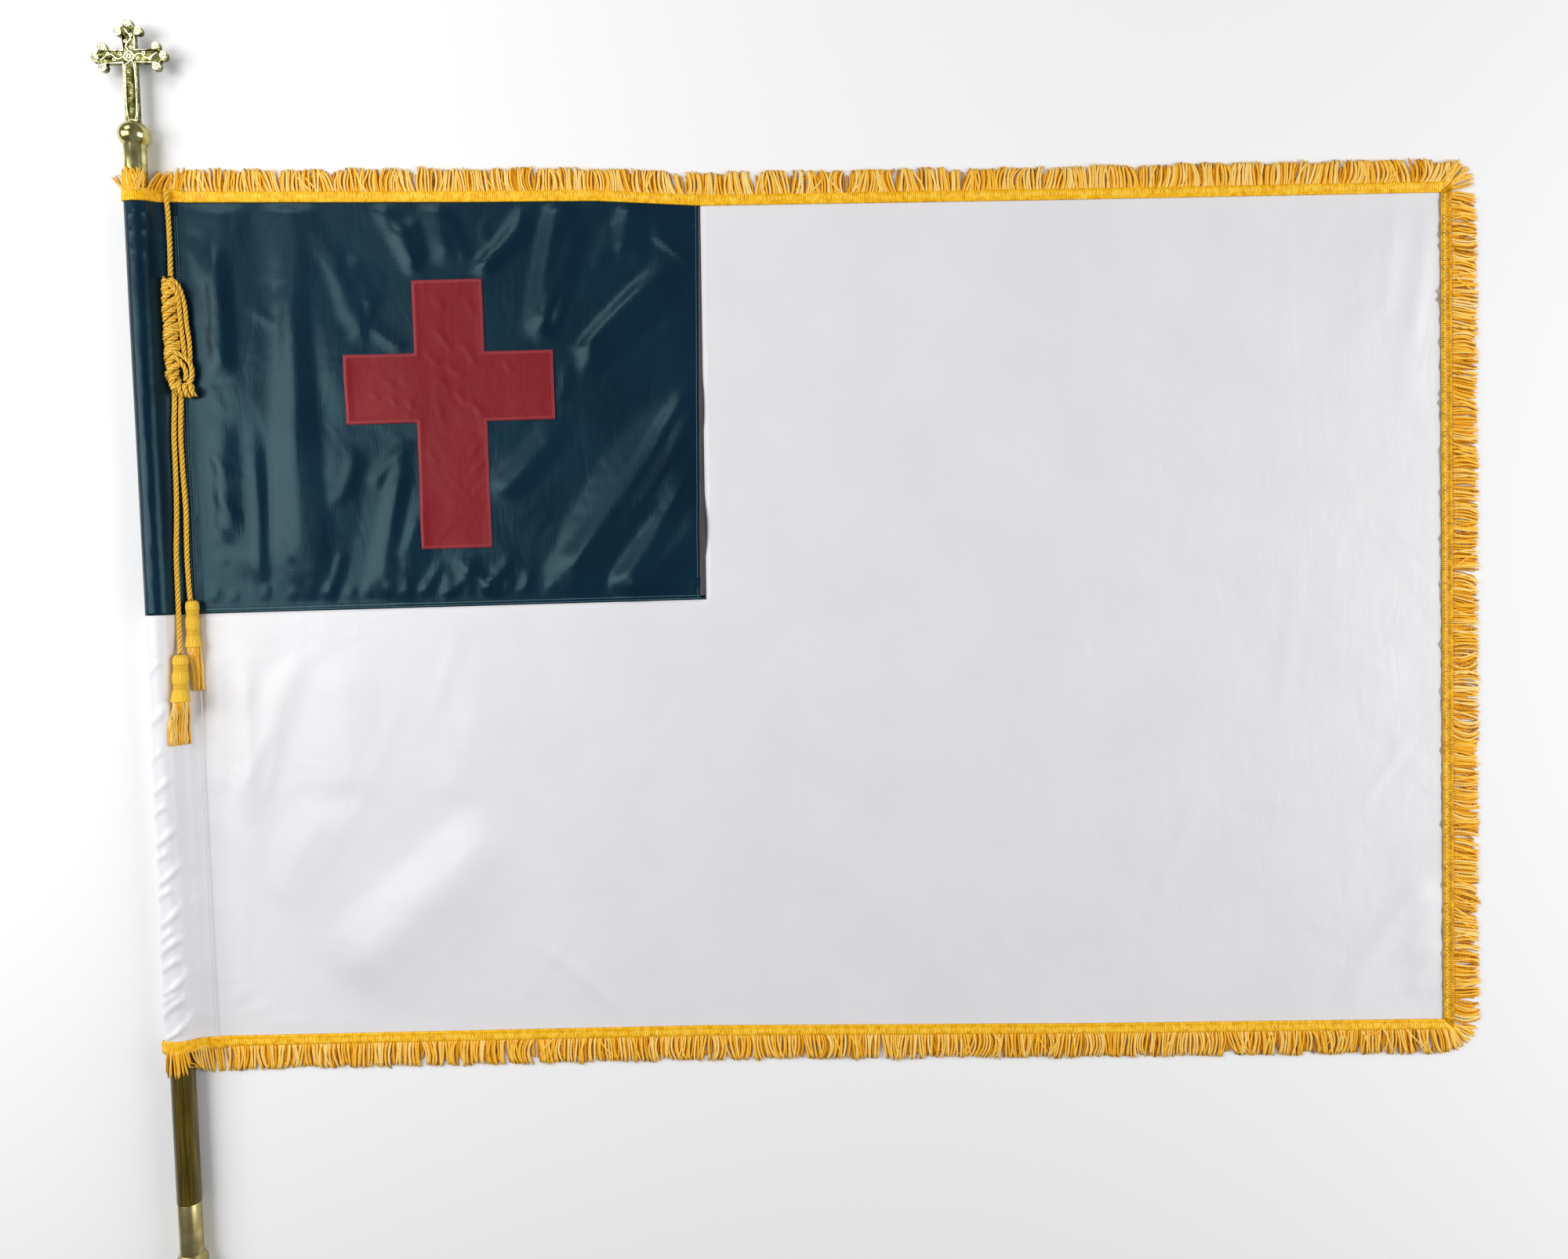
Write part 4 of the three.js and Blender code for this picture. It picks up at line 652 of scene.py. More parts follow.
def canton_grid():
    """The canton, with the cross's shape left out inside its seam. The rows above follow the top edge."""
    stops_x = [SEAM_X - 3, RED_CROSS["left"] + CROSS_SEAM, RED_CROSS["west"] + CROSS_SEAM,
               RED_CROSS["east"] - CROSS_SEAM, RED_CROSS["right"] - CROSS_SEAM]
    stops_y = [CANTON_CORNER[1] + GAP, RED_CROSS["low"] + CROSS_SEAM, RED_CROSS["south"] + CROSS_SEAM,
               RED_CROSS["north"] - CROSS_SEAM, RED_CROSS["high"] - CROSS_SEAM]
    fixed, last = breaks(stops_x, CANTON_CELL), breaks([0, 1], CANTON_CELL / 200)[1:]
    fixed_y, last_y = breaks(stops_y, CANTON_CELL), breaks([0, 1], CANTON_CELL / 110)[1:]
    columns, rows = len(fixed) + len(last), len(fixed_y) + len(last_y)
    x, y = np.zeros((rows, columns)), np.zeros((rows, columns))
    for j in range(rows):
        share = last_y[j - len(fixed_y)] if j >= len(fixed_y) else 0
        level = stops_y[-1] + (CANTON_TOP_Y - stops_y[-1]) * share if share else fixed_y[j]
        edge = np.interp(level, [CANTON_CORNER[1], CANTON_TOP_Y], [CANTON_CORNER[0] - GAP, CANTON_TOP_X - GAP])
        x[j] = np.concatenate([fixed, fixed[-1] + (edge - fixed[-1]) * last])
        top = by_table(TOP_EDGE, x[j]) + UNDER_TAPE
        y[j] = stops_y[-1] + (top - stops_y[-1]) * share if share else fixed_y[j]
    middle_x = (x[:-1, :-1] + x[1:, 1:]) / 2
    middle_y = (y[:-1, :-1] + y[1:, 1:]) / 2
    arm = (middle_x > stops_x[1]) & (middle_x < stops_x[4]) & (middle_y > stops_y[2]) & (middle_y < stops_y[3])
    post = (middle_x > stops_x[2]) & (middle_x < stops_x[3]) & (middle_y > stops_y[1]) & (middle_y < stops_y[4])
    puckers = [(px, 46, px + 5, 46 + long, 0, half, half * 0.6, 1.6) for px, half, long in CANTON_PUCKERS]
    high = (rise(CANTON_FOLDS, x, y) + rise(CANTON_CREASES, x, y) + rise(puckers, x, y)) * canton_held(x, y)
    points = np.stack([x, y, high + CLOTH + seam_rise(x)], axis=-1).reshape(-1, 3)
    return used_only(points, grid_faces(columns, rows, ~(arm | post)))[:2]


blue_nylon = nylon("blue_nylon", "#0a2536", "#071d2e", 0.3, 0.4, 0.32, "#a6dade")
BLUE_SLEEVE_CREASES = [
    (74, 566, 34, 576, -3, 3, 5, 0.9), (74, 548, 32, 556, 2, 3, 5, 0.9), (72, 530, 40, 522, 2, 3, 5, 0.5),
    (66, 500, 46, 540, 6, 5, 6, 0.4), (66, 420, 52, 360, 4, 6, 7, 0.5), (64, 340, 54, 250, 0, 6, 7, 0.5),
    (68, 290, 50, 262, 3, 4, 5, 0.4), (66, 210, 52, 120, -4, 6, 7, 0.6), (70, 130, 48, 96, 0, 4, 5, 0.5),
    (66, 96, 52, 44, 3, 5, 6, 0.6),
]
blue_sleeve = sleeve_grid(CANTON_CORNER[1] + GAP, 605, SLEEVE_LOOSE_BLUE, 605, BLUE_SLEEVE_CREASES)
canton = piece("canton_cloth", *merge([canton_grid(), blue_sleeve]), blue_nylon)
thicken(canton)
fitted(canton, "blue_nylon", "canton", "blue_sleeve")


# Red cross: red nylon laid on the canton and sewn down round its rim, with the blue cut away behind it. The
# rim is folded under, so it is double and paler there.
CROSS_CREASES = [
    (-534, 392, -530, 280, 0, 56, 56, 2.4), (-350, 392, -356, 280, 4, 40, 44, 2.2),
    (-470, 300, -480, 110, 0, 44, 40, 1.6),
    (-586, 330, -572, 322, 0, 4, 4, 1.2), (-566, 346, -552, 340, 0, 4, 4, 1.0), (-560, 326, -548, 312, 0, 4, 4, 1.4),
    (-544, 348, -530, 342, 0, 4, 4, 1.2), (-536, 322, -526, 306, 0, 4, 4, 1.2), (-540, 302, -528, 294, 0, 4, 4, 1.0),
    (-500, 420, -470, 380, 4, 6, 6, 1.4), (-480, 372, -452, 350, -4, 5, 6, 1.4), (-498, 352, -476, 324, 4, 5, 5, 1.2),
    (-462, 400, -440, 362, 4, 6, 6, 1.2), (-470, 338, -444, 306, -4, 6, 6, 1.2), (-510, 388, -490, 366, 0, 5, 5, 1.2),
    (-505, 318, -488, 292, 4, 5, 6, 1.2), (-452, 322, -432, 296, 0, 5, 5, 1.2), (-498, 470, -480, 440, 0, 7, 7, 1.0),
    (-455, 460, -440, 430, 4, 6, 6, 1.0), (-434, 262, -452, 240, 0, 6, 6, 1.2), (-430, 232, -450, 218, 0, 5, 5, 1.2),
    (-432, 202, -450, 188, 0, 5, 5, 1.0), (-512, 250, -496, 230, 0, 6, 6, 1.0), (-400, 372, -388, 352, 0, 5, 5, 1.0),
]


CROSS_CELL = 3.2


def cross_grid():
    """The red cross, with how far each place is from its rim."""
    x = breaks([RED_CROSS[k] for k in ("left", "west", "east", "right")], CROSS_CELL)
    y = breaks([RED_CROSS[k] for k in ("low", "south", "north", "high")], CROSS_CELL)
    gx, gy = np.meshgrid(x, y)
    middle_x, middle_y = (gx[:-1, :-1] + gx[1:, 1:]) / 2, (gy[:-1, :-1] + gy[1:, 1:]) / 2
    arm = (middle_y > RED_CROSS["south"]) & (middle_y < RED_CROSS["north"])
    post = (middle_x > RED_CROSS["west"]) & (middle_x < RED_CROSS["east"])
    in_arm = np.minimum.reduce([gx - RED_CROSS["left"], RED_CROSS["right"] - gx,
                                gy - RED_CROSS["south"], RED_CROSS["north"] - gy])
    in_post = np.minimum.reduce([gx - RED_CROSS["west"], RED_CROSS["east"] - gx,
                                 gy - RED_CROSS["low"], RED_CROSS["high"] - gy])
    from_rim = np.maximum(in_arm, in_post)
    near = 0.3 + 0.7 * np.exp(-np.maximum(from_rim, 0) / 22)  # the canton's creases fade inwards from the rim
    z = 2.35 - 0.5 * eased((from_rim - 5) / 6) + rise(CANTON_FOLDS, gx, gy) + rise(CANTON_CREASES, gx, gy) * near
    z += rise(CROSS_CREASES, gx, gy) * 0.7
    return used_only(np.stack([gx, gy, z], axis=-1).reshape(-1, 3), grid_faces(len(x), len(y), arm | post),
                     {"rim": np.clip(from_rim.ravel() / 12, 0, 1)})


red_nylon = nylon("red_nylon", "#7e1d26", "#721921", 0.4, 0.5, 0.3, "#ffb0a8", "#b2525a")
cross_points, cross_faces, cross_marks = cross_grid()
red_cross = piece("red_cross_cloth", cross_points, cross_faces, red_nylon, cross_marks)
thicken(red_cross, 0.8)
fitted(red_cross, "red_nylon", "red_cross")


# Stitching: doubled rows of polyester thread, drawn as short raised stitches, along the sleeve's seam and
# the canton's hems, and the two hems themselves: bands of nylon folded over the seam between the panels.
STITCH_LONG = 2.6
STITCH_STEP = 3.4
THREAD_THICK = 0.7
SEAM_ROWS = (-843.0, -839.5)
SEAM_TOP = 3.35  # the height of the stitches, which stand on the cloth over the sleeve's seam
HEM_STEP_UP = 0.5  # how far a hem stands off the cloth


def thread_bars(a, b, thick):
    """Short straight runs of thread from points to points, with pointed ends."""
    ahead = unit(b - a)
    side = unit(np.cross(ahead, (0, 0, 1)))
    up = np.cross(side, ahead)
    rings = []
    for t, width in ((0.0, 0.3), (0.25, 1.0), (0.75, 1.0), (1.0, 0.3)):
        centre = a + (b - a) * t
        rings.append(np.stack([centre + thick / 2 * width * (side * math.cos(v) + up * math.sin(v))
                               for v in np.radians([30, 90, 150, 210, 270, 330])], axis=1))
    return skin(np.stack(rings, axis=1))


def stitches(name, rows, finish):
    """Rows of stitches along lines."""
    starts, ends = [], []
    for line in rows:
        points, _ = along_line(line, STITCH_STEP)
        ahead = unit(np.gradient(points, axis=0))
        starts.append(points - ahead * STITCH_LONG / 2)
        ends.append(points + ahead * STITCH_LONG / 2)
    return piece(name, *thread_bars(np.vstack(starts), np.vstack(ends), THREAD_THICK), finish)


def sleeve_seam(y0, y1):
    """The two rows along the sleeve's seam, between two places."""
    y = np.arange(y0, y1, 12.0)
    return [np.stack([x + 0 * y, y, SEAM_TOP + 0 * y], axis=1) for x in SEAM_ROWS]


def over_canton(x, y, lift):
    """Places that stand a little off the canton's folds."""
    folds = (rise(CANTON_FOLDS, x, y) + rise(CANTON_CREASES, x, y)) * canton_held(x, y)
    return np.stack([x, y, folds + CLOTH + lift], axis=1)


# Polyester thread: smooth and faded to a greyish green, so the rows show as fine pale dashes on the canton.
thread, tree, shader = material("polyester_thread", Roughness=0.5)
coloured(tree, shader, noise(tree, 400.0), [(0.3, "#5f8a8f"), (0.7, "#7d9a9c")])
hem_y = np.linspace(34, 572, 180)
hem_x = np.interp(hem_y, [CANTON_CORNER[1], CANTON_TOP_Y], [CANTON_CORNER[0] - 0.3, CANTON_TOP_X - 0.3])
hem_wide = np.interp(hem_y, [32, 300, CANTON_TOP_Y], [8.5, 5.5, 2.2])
side_hem_rows = [over_canton(hem_x - hem_wide * share, hem_y, lift) for share, lift in
                 ((1.0, 0.1), (0.8, HEM_STEP_UP), (0.2, HEM_STEP_UP), (0.0, 0.1))]
hem_low_x = np.linspace(SEAM_X, CANTON_CORNER[0] - 1, 240)
low_hem_rows = [over_canton(hem_low_x, CANTON_CORNER[1] + up + 0 * hem_low_x, lift) for up, lift in
                ((0.4, 0.1), (1.4, HEM_STEP_UP), (6.8, HEM_STEP_UP), (8.2, 0.1))]
seam_nylon = nylon("seam_nylon", "#50474c", "#463f46", 0.45, 0.4, 0.3)
side_hem = piece("canton_side_hem", np.stack(side_hem_rows, axis=1).reshape(-1, 3), grid_faces(4, len(hem_y)),
                 seam_nylon)
low_hem = piece("canton_low_hem", np.stack(low_hem_rows, axis=1).reshape(-1, 3),
                [f[::-1] for f in grid_faces(4, len(hem_low_x))], blue_nylon)
canton_stitches = stitches("seam_stitches_blue", [
    *sleeve_seam(36, 588), over_canton(hem_x - hem_wide - 3.5, hem_y, 0.25),
    *(over_canton(hem_low_x, CANTON_CORNER[1] + up + 0 * hem_low_x, 0.75) for up in (2.2, 6.0)),
], thread)
for made in (side_hem, low_hem, canton_stitches):
    fitted(made, "blue_nylon")
field_stitches = fitted(stitches("seam_stitches_white", sleeve_seam(-560, 29), white_nylon), "white_nylon")


# Fringe: gold rayon bullion fringe. Twisted strands 33 mm long hang from a woven tape that is sewn
# over the cloth's edge. The strands lie on the floor, over each other and in loose clumps.
TAPE_WIDE = 16.5
STRAND_THICK = 3.0
STRAND_PITCH = 3.5
STRAND_FLANK_SHADE = 0.24  # how much lighter a strand's crest and darker its underside are painted: painted highlight and shade
STRAND_LONG = 33.0
STRAND_LAY = 4.2
STRAND_RINGS = 7
STRAND_ANGLES = 2 * math.pi * (np.arange(5) + 0.5) / 5
TWIST_APART = 37.0  # so that neighbours don't start at the same place of their twist
TAPE_PROFILE = [(0.0, 0.35), (0.3, 1.4), (1.2, 1.9), (2.4, 1.5), (3.2, 1.3), (5.0, 1.7), (8.0, 1.9), (10.5, 2.3),
                (12.5, 2.3), (13.5, 1.0)]  # outwards and up: a rolled ridge, a flat, and a step past the cloth


def scaled(tree, value, factor, plus):
    """A value times a factor, plus a number or another value."""
    node = add(tree, "ShaderNodeMath", {"operation": "MULTIPLY_ADD", 1: factor}, {0: value})
    if isinstance(plus, float):
        node.inputs[2].default_value = plus
    else:
        tree.links.new(plus, node.inputs[2])
    return node.outputs[0]


# Rayon fringe: soft and satiny, with its twist as a fine slant. Deep amber is painted shade, on a strand's underside
# and on the lower rows, and pale cream is a painted highlight on its crest.
fringe_rayon, tree, shader = material("gold_rayon_fringe", Roughness=0.5, Specular_IOR_Level=0.35,
                                      Specular_Tint=RAYON_SHINE)
twist = waves(tree, mark(tree, "turn"))
coloured(tree, shader, scaled(tree, twist, 0.035, mark(tree, "tone")),
         [(0.0, "#6a3400"), (0.18, "#be7606"), (0.38, "#f6ac1c"), (0.62, "#ffc53a"), (1.0, "#ffe79c")])
bumped(tree, shader, twist, 0.3, 0.0003)

# Rayon tape: woven from slubbed yarn 2.7 mm apart, so it is uneven, and duller under the zigzag's thread.
tape_rayon, tree, shader = material("gold_rayon_tape", Roughness=0.45, Specular_Tint=RAYON_SHINE)
woven = scaled(tree, waves(tree, mark(tree, "along"), 2.7), 0.16, noise(tree, 150.0, 3.0))
shade = scaled(tree, mark(tree, "ground"), -0.34, woven)
coloured(tree, shader, shade,
         [(0.0, "#a86a04"), (0.2, "#cc8a08"), (0.42, "#f6b212"), (0.6, "#ffc31e"), (0.85, "#ffe062")])
bumped(tree, shader, shade, 0.8, 0.0005)


def band_marks(line, profile, ground=0.0):
    """Where each point is along a tape. Where thread is sewn over it in a pattern, its ground is darker."""
    outs = [out for out, _ in profile]
    return {"along": np.repeat(running_length(line), len(outs)), "ground": ground * (np.tile(outs, len(line)) > 1.0)}


def tape_grid(inner, outward, skew, ground=0.0):
    """A band from its inner edge outwards, with its ends cut on the skew."""
    rows = []
    for out, up in TAPE_PROFILE:
        row = inner + np.asarray(outward, float) * out + skew * out
        row[:, 2] = inner[:, 2] + up
        rows.append(row)
    return (np.stack(rows, axis=1).reshape(-1, 3), grid_faces(len(rows), len(inner)),
            band_marks(inner, TAPE_PROFILE, ground))


def strand_ring(centre, across, half):
    """The sections of all strands at one step."""
    return np.stack([centre + across * (half * math.cos(v)) + np.array([0, 0, half * math.sin(v)])
                     for v in STRAND_ANGLES], axis=1)


def strand_turn(phase, turned):
    """How many times a strand's twist has turned, at each point of one step."""
    return phase[:, None] + turned + np.arange(len(STRAND_ANGLES))[None] / len(STRAND_ANGLES)


def strand_mesh(rings, turns, tones, flank=0.0):
    """Strands from their sections. A strand's crest can be painted lighter and its underside darker: painted highlight
    and shade.
    """
    around = np.tile(flank * np.sin(STRAND_ANGLES), len(tones) * len(rings))
    tone = np.clip(np.repeat(tones, len(rings) * len(STRAND_ANGLES)) + around, 0, 1)
    return *skin(np.stack(rings, axis=1)), {"turn": np.stack(turns, axis=1).ravel(), "tone": tone}


def strands(roots, tips, bends, low, lift, tones, thick=STRAND_THICK):
    """Strands from their roots to their tips, each bent sideways, and resting at a height with a hump."""
    go = tips - roots
    across = unit(np.stack([go[:, 1], -go[:, 0], 0 * go[:, 0]], axis=1))
    rings, turns = [], []
    for k in range(STRAND_RINGS):
        t = k / (STRAND_RINGS - 1)
        centre = roots + go * t + across * (bends * 4 * t * (1 - t))[:, None]
        rest = low + lift * math.sin(math.pi * min(1, t * 1.15)) ** 2
        centre[:, 2] = roots[:, 2] * (1 - eased(t / 0.4)) + rest * eased(t / 0.4)
        width = 0.9 if k == 0 else 1.0 if k < STRAND_RINGS - 1 else 0.7
        rings.append(strand_ring(centre, across, thick / 2 * width))
        turns.append(strand_turn((roots[:, 0] + roots[:, 1]) * TWIST_APART, t * STRAND_LONG / STRAND_LAY))
    return strand_mesh(rings, turns, tones, STRAND_FLANK_SHADE)


def leaning(outward, lean):
    """Directions that lean off the way out of the cloth by angles."""
    x, y = outward
    return np.stack([x * np.cos(lean) - y * np.sin(lean), x * np.sin(lean) + y * np.cos(lean), 0 * lean], axis=1)


def fringe_run(spot, outward, count, seed, long, dull=0.0, sway=6.0, under=0.16, droop=0.0, turned=0.0):
    """Two rows of strands along an edge, leaning in clumps that part here and there, over a shorter
    row that shows between them. The lower row and the short one are painted darker, as shade."""
    luck = np.random.default_rng(seed)
    sizes = luck.integers(3, 9, count)
    clump = np.repeat(luck.normal(0, sway, count), sizes)[:count]
    curl = np.repeat(luck.normal(0, 2.2, count), sizes)[:count]
    trim = np.repeat(luck.normal(0, 1.2, count), sizes)[:count]
    layers = []
    # The lower row gets the low tone under: painted shade beneath the upper row.
    for layer, (low, lift, tone) in enumerate(((1.5, 0.2, under), (3.3, 1.0, 0.5))):
        share = (np.arange(count) + 0.5 + 0.5 * layer + luck.uniform(-0.25, 0.25, count)) / count
        roots = spot(np.minimum(share, 1))
        roots[:, 2] = 1.3 + 0.5 * layer
        stray = (luck.random(count) > 0.93) * luck.normal(0, 20, count)
        at_end = turned * np.clip((share - 0.95) / 0.05, 0, 1) ** 2
        lean = np.radians(droop + at_end + clump + luck.normal(0, 3.5, count) + stray)
        length = long + 6 + trim + luck.normal(0, 0.9, count)
        tips = roots + leaning(outward, lean) * length[:, None]
        tones = np.clip(tone - dull + luck.normal(0, 0.15, count), 0.0, 0.98)
        layers.append(strands(roots, tips, curl + luck.normal(0, 1.2, count), low, lift, tones))
    # The short row beneath is darker too, as painted shade.
    roots = spot((np.arange(count) + luck.uniform(0.2, 0.8, count)) / count)
    roots[:, 2] = 1.2
    lean = np.radians(droop + clump * 0.4 + luck.normal(0, 5, count))
    tips = roots + leaning(outward, lean) * (long + luck.normal(0, 2.5, count))[:, None]
    tones = np.clip(under + 0.04 + luck.normal(0, 0.08, count), 0, 0.98)
    layers.append(strands(roots, tips, luck.normal(0, 2, count), 1.4, 0.1, tones))
    return layers


def corner_tuft(x, y, side, seed):
    """The strands that fan out round a corner of the cloth."""
    luck = np.random.default_rng(seed)
    count = 17
    angle = np.radians((np.linspace(12, 84, count) + luck.normal(0, 3, count)) * side)
    roots = np.stack([x + 7 + 0 * angle, y + side * 5 + 0 * angle, 1.8 + 0 * angle], axis=1)
    length = 39 + luck.normal(0, 1.5, count)
    tips = roots + np.stack([np.cos(angle), np.sin(angle), 0 * angle], axis=1) * length[:, None]
    return strands(roots, tips, luck.normal(0, 2, count), 2.6, 1.0, np.clip(0.5 + luck.normal(0, 0.15, count), 0, 1))


def fringe_piece(name, layers, band):
    """The strands and the tape that stand for one fringe of the solids."""
    points, faces, marks = joined(layers)
    made = piece(name + "_strands", points, faces, fringe_rayon, marks)
    points, faces, marks = band
    tape = piece(name + "_tape", points, faces, tape_rayon, marks)
    thicken(tape, 0.8)
    return fitted(made, "gold_fringe", name), fitted(tape, "gold_fringe", name)


SLEEVE_TAPE_END = POLE_X + 53
FLY_LOW, FLY_LONG = -595, 1160
edge_x = np.arange(SLEEVE_TAPE_END, FLY_X + 1, 3.0)


def long_edge(table, side):
    """A long side's inner edge, its tape, and where its strands start by their share of it."""
    inner = np.stack([edge_x, by_table(table, edge_x), CLOTH + 0 * edge_x], axis=1)[::side]
    skew = np.zeros_like(inner)
    skew[-1 if side > 0 else 0, 0] = 1

    def spot(share):
        x = SLEEVE_TAPE_END + 2 + (FLY_X + 4 - SLEEVE_TAPE_END) * share
        return np.stack([x, by_table(table, x) + side * (TAPE_WIDE - 6), 0 * x], axis=1)

    return inner, tape_grid(inner, (0, side, 0), skew), spot


def fly_spot(share):
    """The same for the fly side."""
    y = FLY_LOW + FLY_LONG * share
    return np.stack([FLY_X + TAPE_WIDE - 6 + 0 * y, y, 0 * y], axis=1)


top_inner, top_band, top_spot = long_edge(TOP_EDGE, 1)
bottom_inner, bottom_band, bottom_spot = long_edge(BOTTOM_EDGE, -1)
side_count = int((FLY_X - SLEEVE_TAPE_END) / STRAND_PITCH)
fringe_top = fringe_piece("fringe_top", [*fringe_run(top_spot, (0, 1), side_count, 3, 27.5, -0.05, 8.5, turned=-30.0),
                                         corner_tuft(FLY_X, FLY_LOW + FLY_LONG, 1, 41)], top_band)
fringe_bottom = fringe_piece("fringe_bottom", [*fringe_run(bottom_spot, (0, -1), side_count, 8, 31.5, turned=14.0),
                                               corner_tuft(FLY_X, FLY_LOW, -1, 42)], bottom_band)
fly_y = np.linspace(-594.7, 564.7, 388)[::-1]
fly_inner = np.stack([FLY_X + 0 * fly_y, fly_y, CLOTH + 0 * fly_y], axis=1)
skew = np.zeros_like(fly_inner)
skew[0, 1], skew[-1, 1] = 1, -1
fringe_fly = fringe_piece("fringe_fly", fringe_run(fly_spot, (1, 0), int(FLY_LONG / STRAND_PITCH), 13, 32.5, 0.03, 3.6,
                                                   0.06, -8.0), tape_grid(fly_inner, (1, 0, 0), skew, 0.7))


# Tape's face: raised ribs of gimp across it on the long sides, and a zigzag of thread down the fly side.
# Beside the fly tape's inner edge, a ragged greyish-beige strip on the cloth is the painted shadow of the tape's edge.
def tape_ribs(inner, outward, pitch, reach, thick):
    """Ribs across a tape, at even steps along its inner edge, between two distances out."""
    line, _ = along_line(inner, pitch)
    a, b = (line + np.asarray(outward, float) * out for out in reach)
    a[:, 2], b[:, 2] = 2.75, 3.6
    return thread_bars(a, b, thick)


def trim_piece(name, parts, finish):
    """What is sewn on the tape, or painted beside it, as one piece of the fringe."""
    return fitted(piece(name, *merge(parts), finish), "gold_fringe")


# Rayon gimp: a cord wrapped in bright yarn, lighter and shinier than the tape under it.
bright_gimp, tree, shader = material("gold_rayon_gimp", Roughness=0.45, Specular_Tint=RAYON_SHINE)
coloured(tree, shader, noise(tree, 220.0), [(0.3, "#ffca2c"), (0.7, "#fff09a")])
top_ribs = trim_piece("fringe_top_ribs", [tape_ribs(top_inner, (0, 1, 0), 5.2, (3.4, 11.5), 1.9)], bright_gimp)
bottom_ribs = trim_piece("fringe_bottom_ribs", [tape_ribs(bottom_inner, (0, -1, 0), 5.2, (3.4, 11.5), 1.9)],
                         bright_gimp)
zig_y = np.arange(-592, 563, 3.1)
zig = np.stack([FLY_X + np.where(np.arange(len(zig_y)) % 2, 8.4, 1.0), zig_y, 3.1 + 0 * zig_y], axis=1)
fly_ribs = trim_piece("fringe_fly_zigzag", [
    thread_bars(zig[:-1], zig[1:], 1.7),
    tape_ribs(fly_inner, (1, 0, 0), 3.0, (9.0, 13.0), 1.5),
], bright_gimp)

# Painted shadow of the fly tape's edge: dull, greyish beige and uneven, with no shine beside the rayon.
tape_edge_shadow, tree, shader = material("painted_tape_edge_shadow", Roughness=0.7)
coloured(tree, shader, noise(tree, 90.0, 3.0), [(0.35, "#a09484"), (0.7, "#c8beb2")])
luck = np.random.default_rng(77)
ragged = 1.8 + 2.6 * np.interp(fly_y[::-1], np.arange(-600, 580, 9.0), luck.random(132) ** 2)[::-1]
for spike_y, spike in ((507, 6), (492, 5), (430, 7), (418, 8), (360, 5), (288, 6), (276, 7), (210, 4), (152, 6),
                       (88, 5), (24, 4), (-60, 5), (-128, 4), (-210, 5), (-316, 4), (-402, 5), (-500, 4)):
    ragged += spike * 0.8 * np.clip(1 - np.abs(fly_y - spike_y) / 9, 0, 1) ** 2
shadow_rows = []
for share in (1.0, 0.5, 0.0):
    row_x = FLY_X + 1.0 - (ragged + 1.0) * share
    shadow_rows.append(np.stack([row_x, fly_y, field_height(row_x, fly_y) + 0.12], axis=1))
tape_shadow_strip = np.stack(shadow_rows, axis=1).reshape(-1, 3), grid_faces(3, len(fly_y))
fly_tape_shadow = trim_piece("fringe_fly_tape_shadow", [tape_shadow_strip], tape_edge_shadow)


# Sleeve fringe: at the pole the same rayon tape is sewn on round the sleeve's end, so it runs up over the
# pole. Its strands lie over the pole and fall to its sides.
SLEEVE_TAPE_PROFILE = [(0.0, 0.2), (0.4, 1.2), (1.6, 1.7), (3.0, 1.3), (5.0, 1.2), (8.0, 1.2), (12.0, 1.1),
                       (16.5, 0.9)]
OVER_POLE_LONG = 38.0


def sleeve_tape(edge, side, loose):
    """The tape round the sleeve's end, with how far it sags away from the pole on its outer side."""
    section = np.vstack([sleeve_section()[:SECTION_SEEN][::-1], [(53, CLOTH)]])
    line, _ = along_line([(x, 0, z) for x, z in section], 2.4)
    across, high = line[:, 0], line[:, 2]
    slack = np.where(across < -10, slackened(loose, high), 0)
    outward = unit(np.stack([across, 0 * across, high - POLE_Z], axis=1))
    outward[across > 30] = (0, 0, 1)
    rows = [np.stack([POLE_X + across - slack, edge[0][1] - side * pulled_back(across, high) + side * out, high],
                     axis=1) + outward * up for out, up in SLEEVE_TAPE_PROFILE]
    faces = grid_faces(len(rows), len(line))
    return (np.stack(rows, axis=1).reshape(-1, 3), faces if side > 0 else [f[::-1] for f in faces],
            band_marks(line, SLEEVE_TAPE_PROFILE))


def sleeve_strands(edge, side, under, seed, long=OVER_POLE_LONG, ragged=2.0):
    """The strands over the pole, which fall to its sides. At the outer end they are longer and lean away."""
    luck = np.random.default_rng(seed)
    across = np.concatenate([np.arange(-16, 31, 2.3), np.arange(34, 52, 3.1)])
    high = cloth_top(across)
    lean = np.interp(across, [-16, -10, 0, 52], [-15, -5, 1, 4]) + luck.normal(0, ragged, len(across))
    reach = long * (1 + luck.normal(0, 0.02 * ragged, len(across)))
    reach[:3] *= 1.15
    rings, turns = [], []
    for k in range(STRAND_RINGS):
        t = k / (STRAND_RINGS - 1)
        x = across + lean * t
        y = edge[0][1] - side * pulled_back(across, high) + side * (TAPE_WIDE - 5 + reach * t)
        near = np.clip(np.abs(x) - 1.2, 0, under)
        over_pole = POLE_Z + np.sqrt(np.maximum(0, (under + 0.6) ** 2 - near ** 2)) + 1.2
        beside = np.where(x > 0, np.maximum(1.3, high + 1.0 - 0.85 * high * t), 1.3)
        rest = np.where(np.abs(x) < under, over_pole, beside)
        z = np.where(across > 30, high * (1 - t) + 1.3 * t, np.maximum(rest, (high + 1.0) * (1 - t) + rest * t))
        width = STRAND_THICK / 2 * (1.0 if k < STRAND_RINGS - 1 else 0.5)
        rings.append(strand_ring(np.stack([POLE_X + x, y, z], axis=1), np.array([1.0, 0, 0]), width))
        turns.append(strand_turn(across * TWIST_APART, t * OVER_POLE_LONG / STRAND_LAY))
    return strand_mesh(rings, turns, np.clip(0.6 + luck.normal(0, 0.15, len(across)), 0, 1))


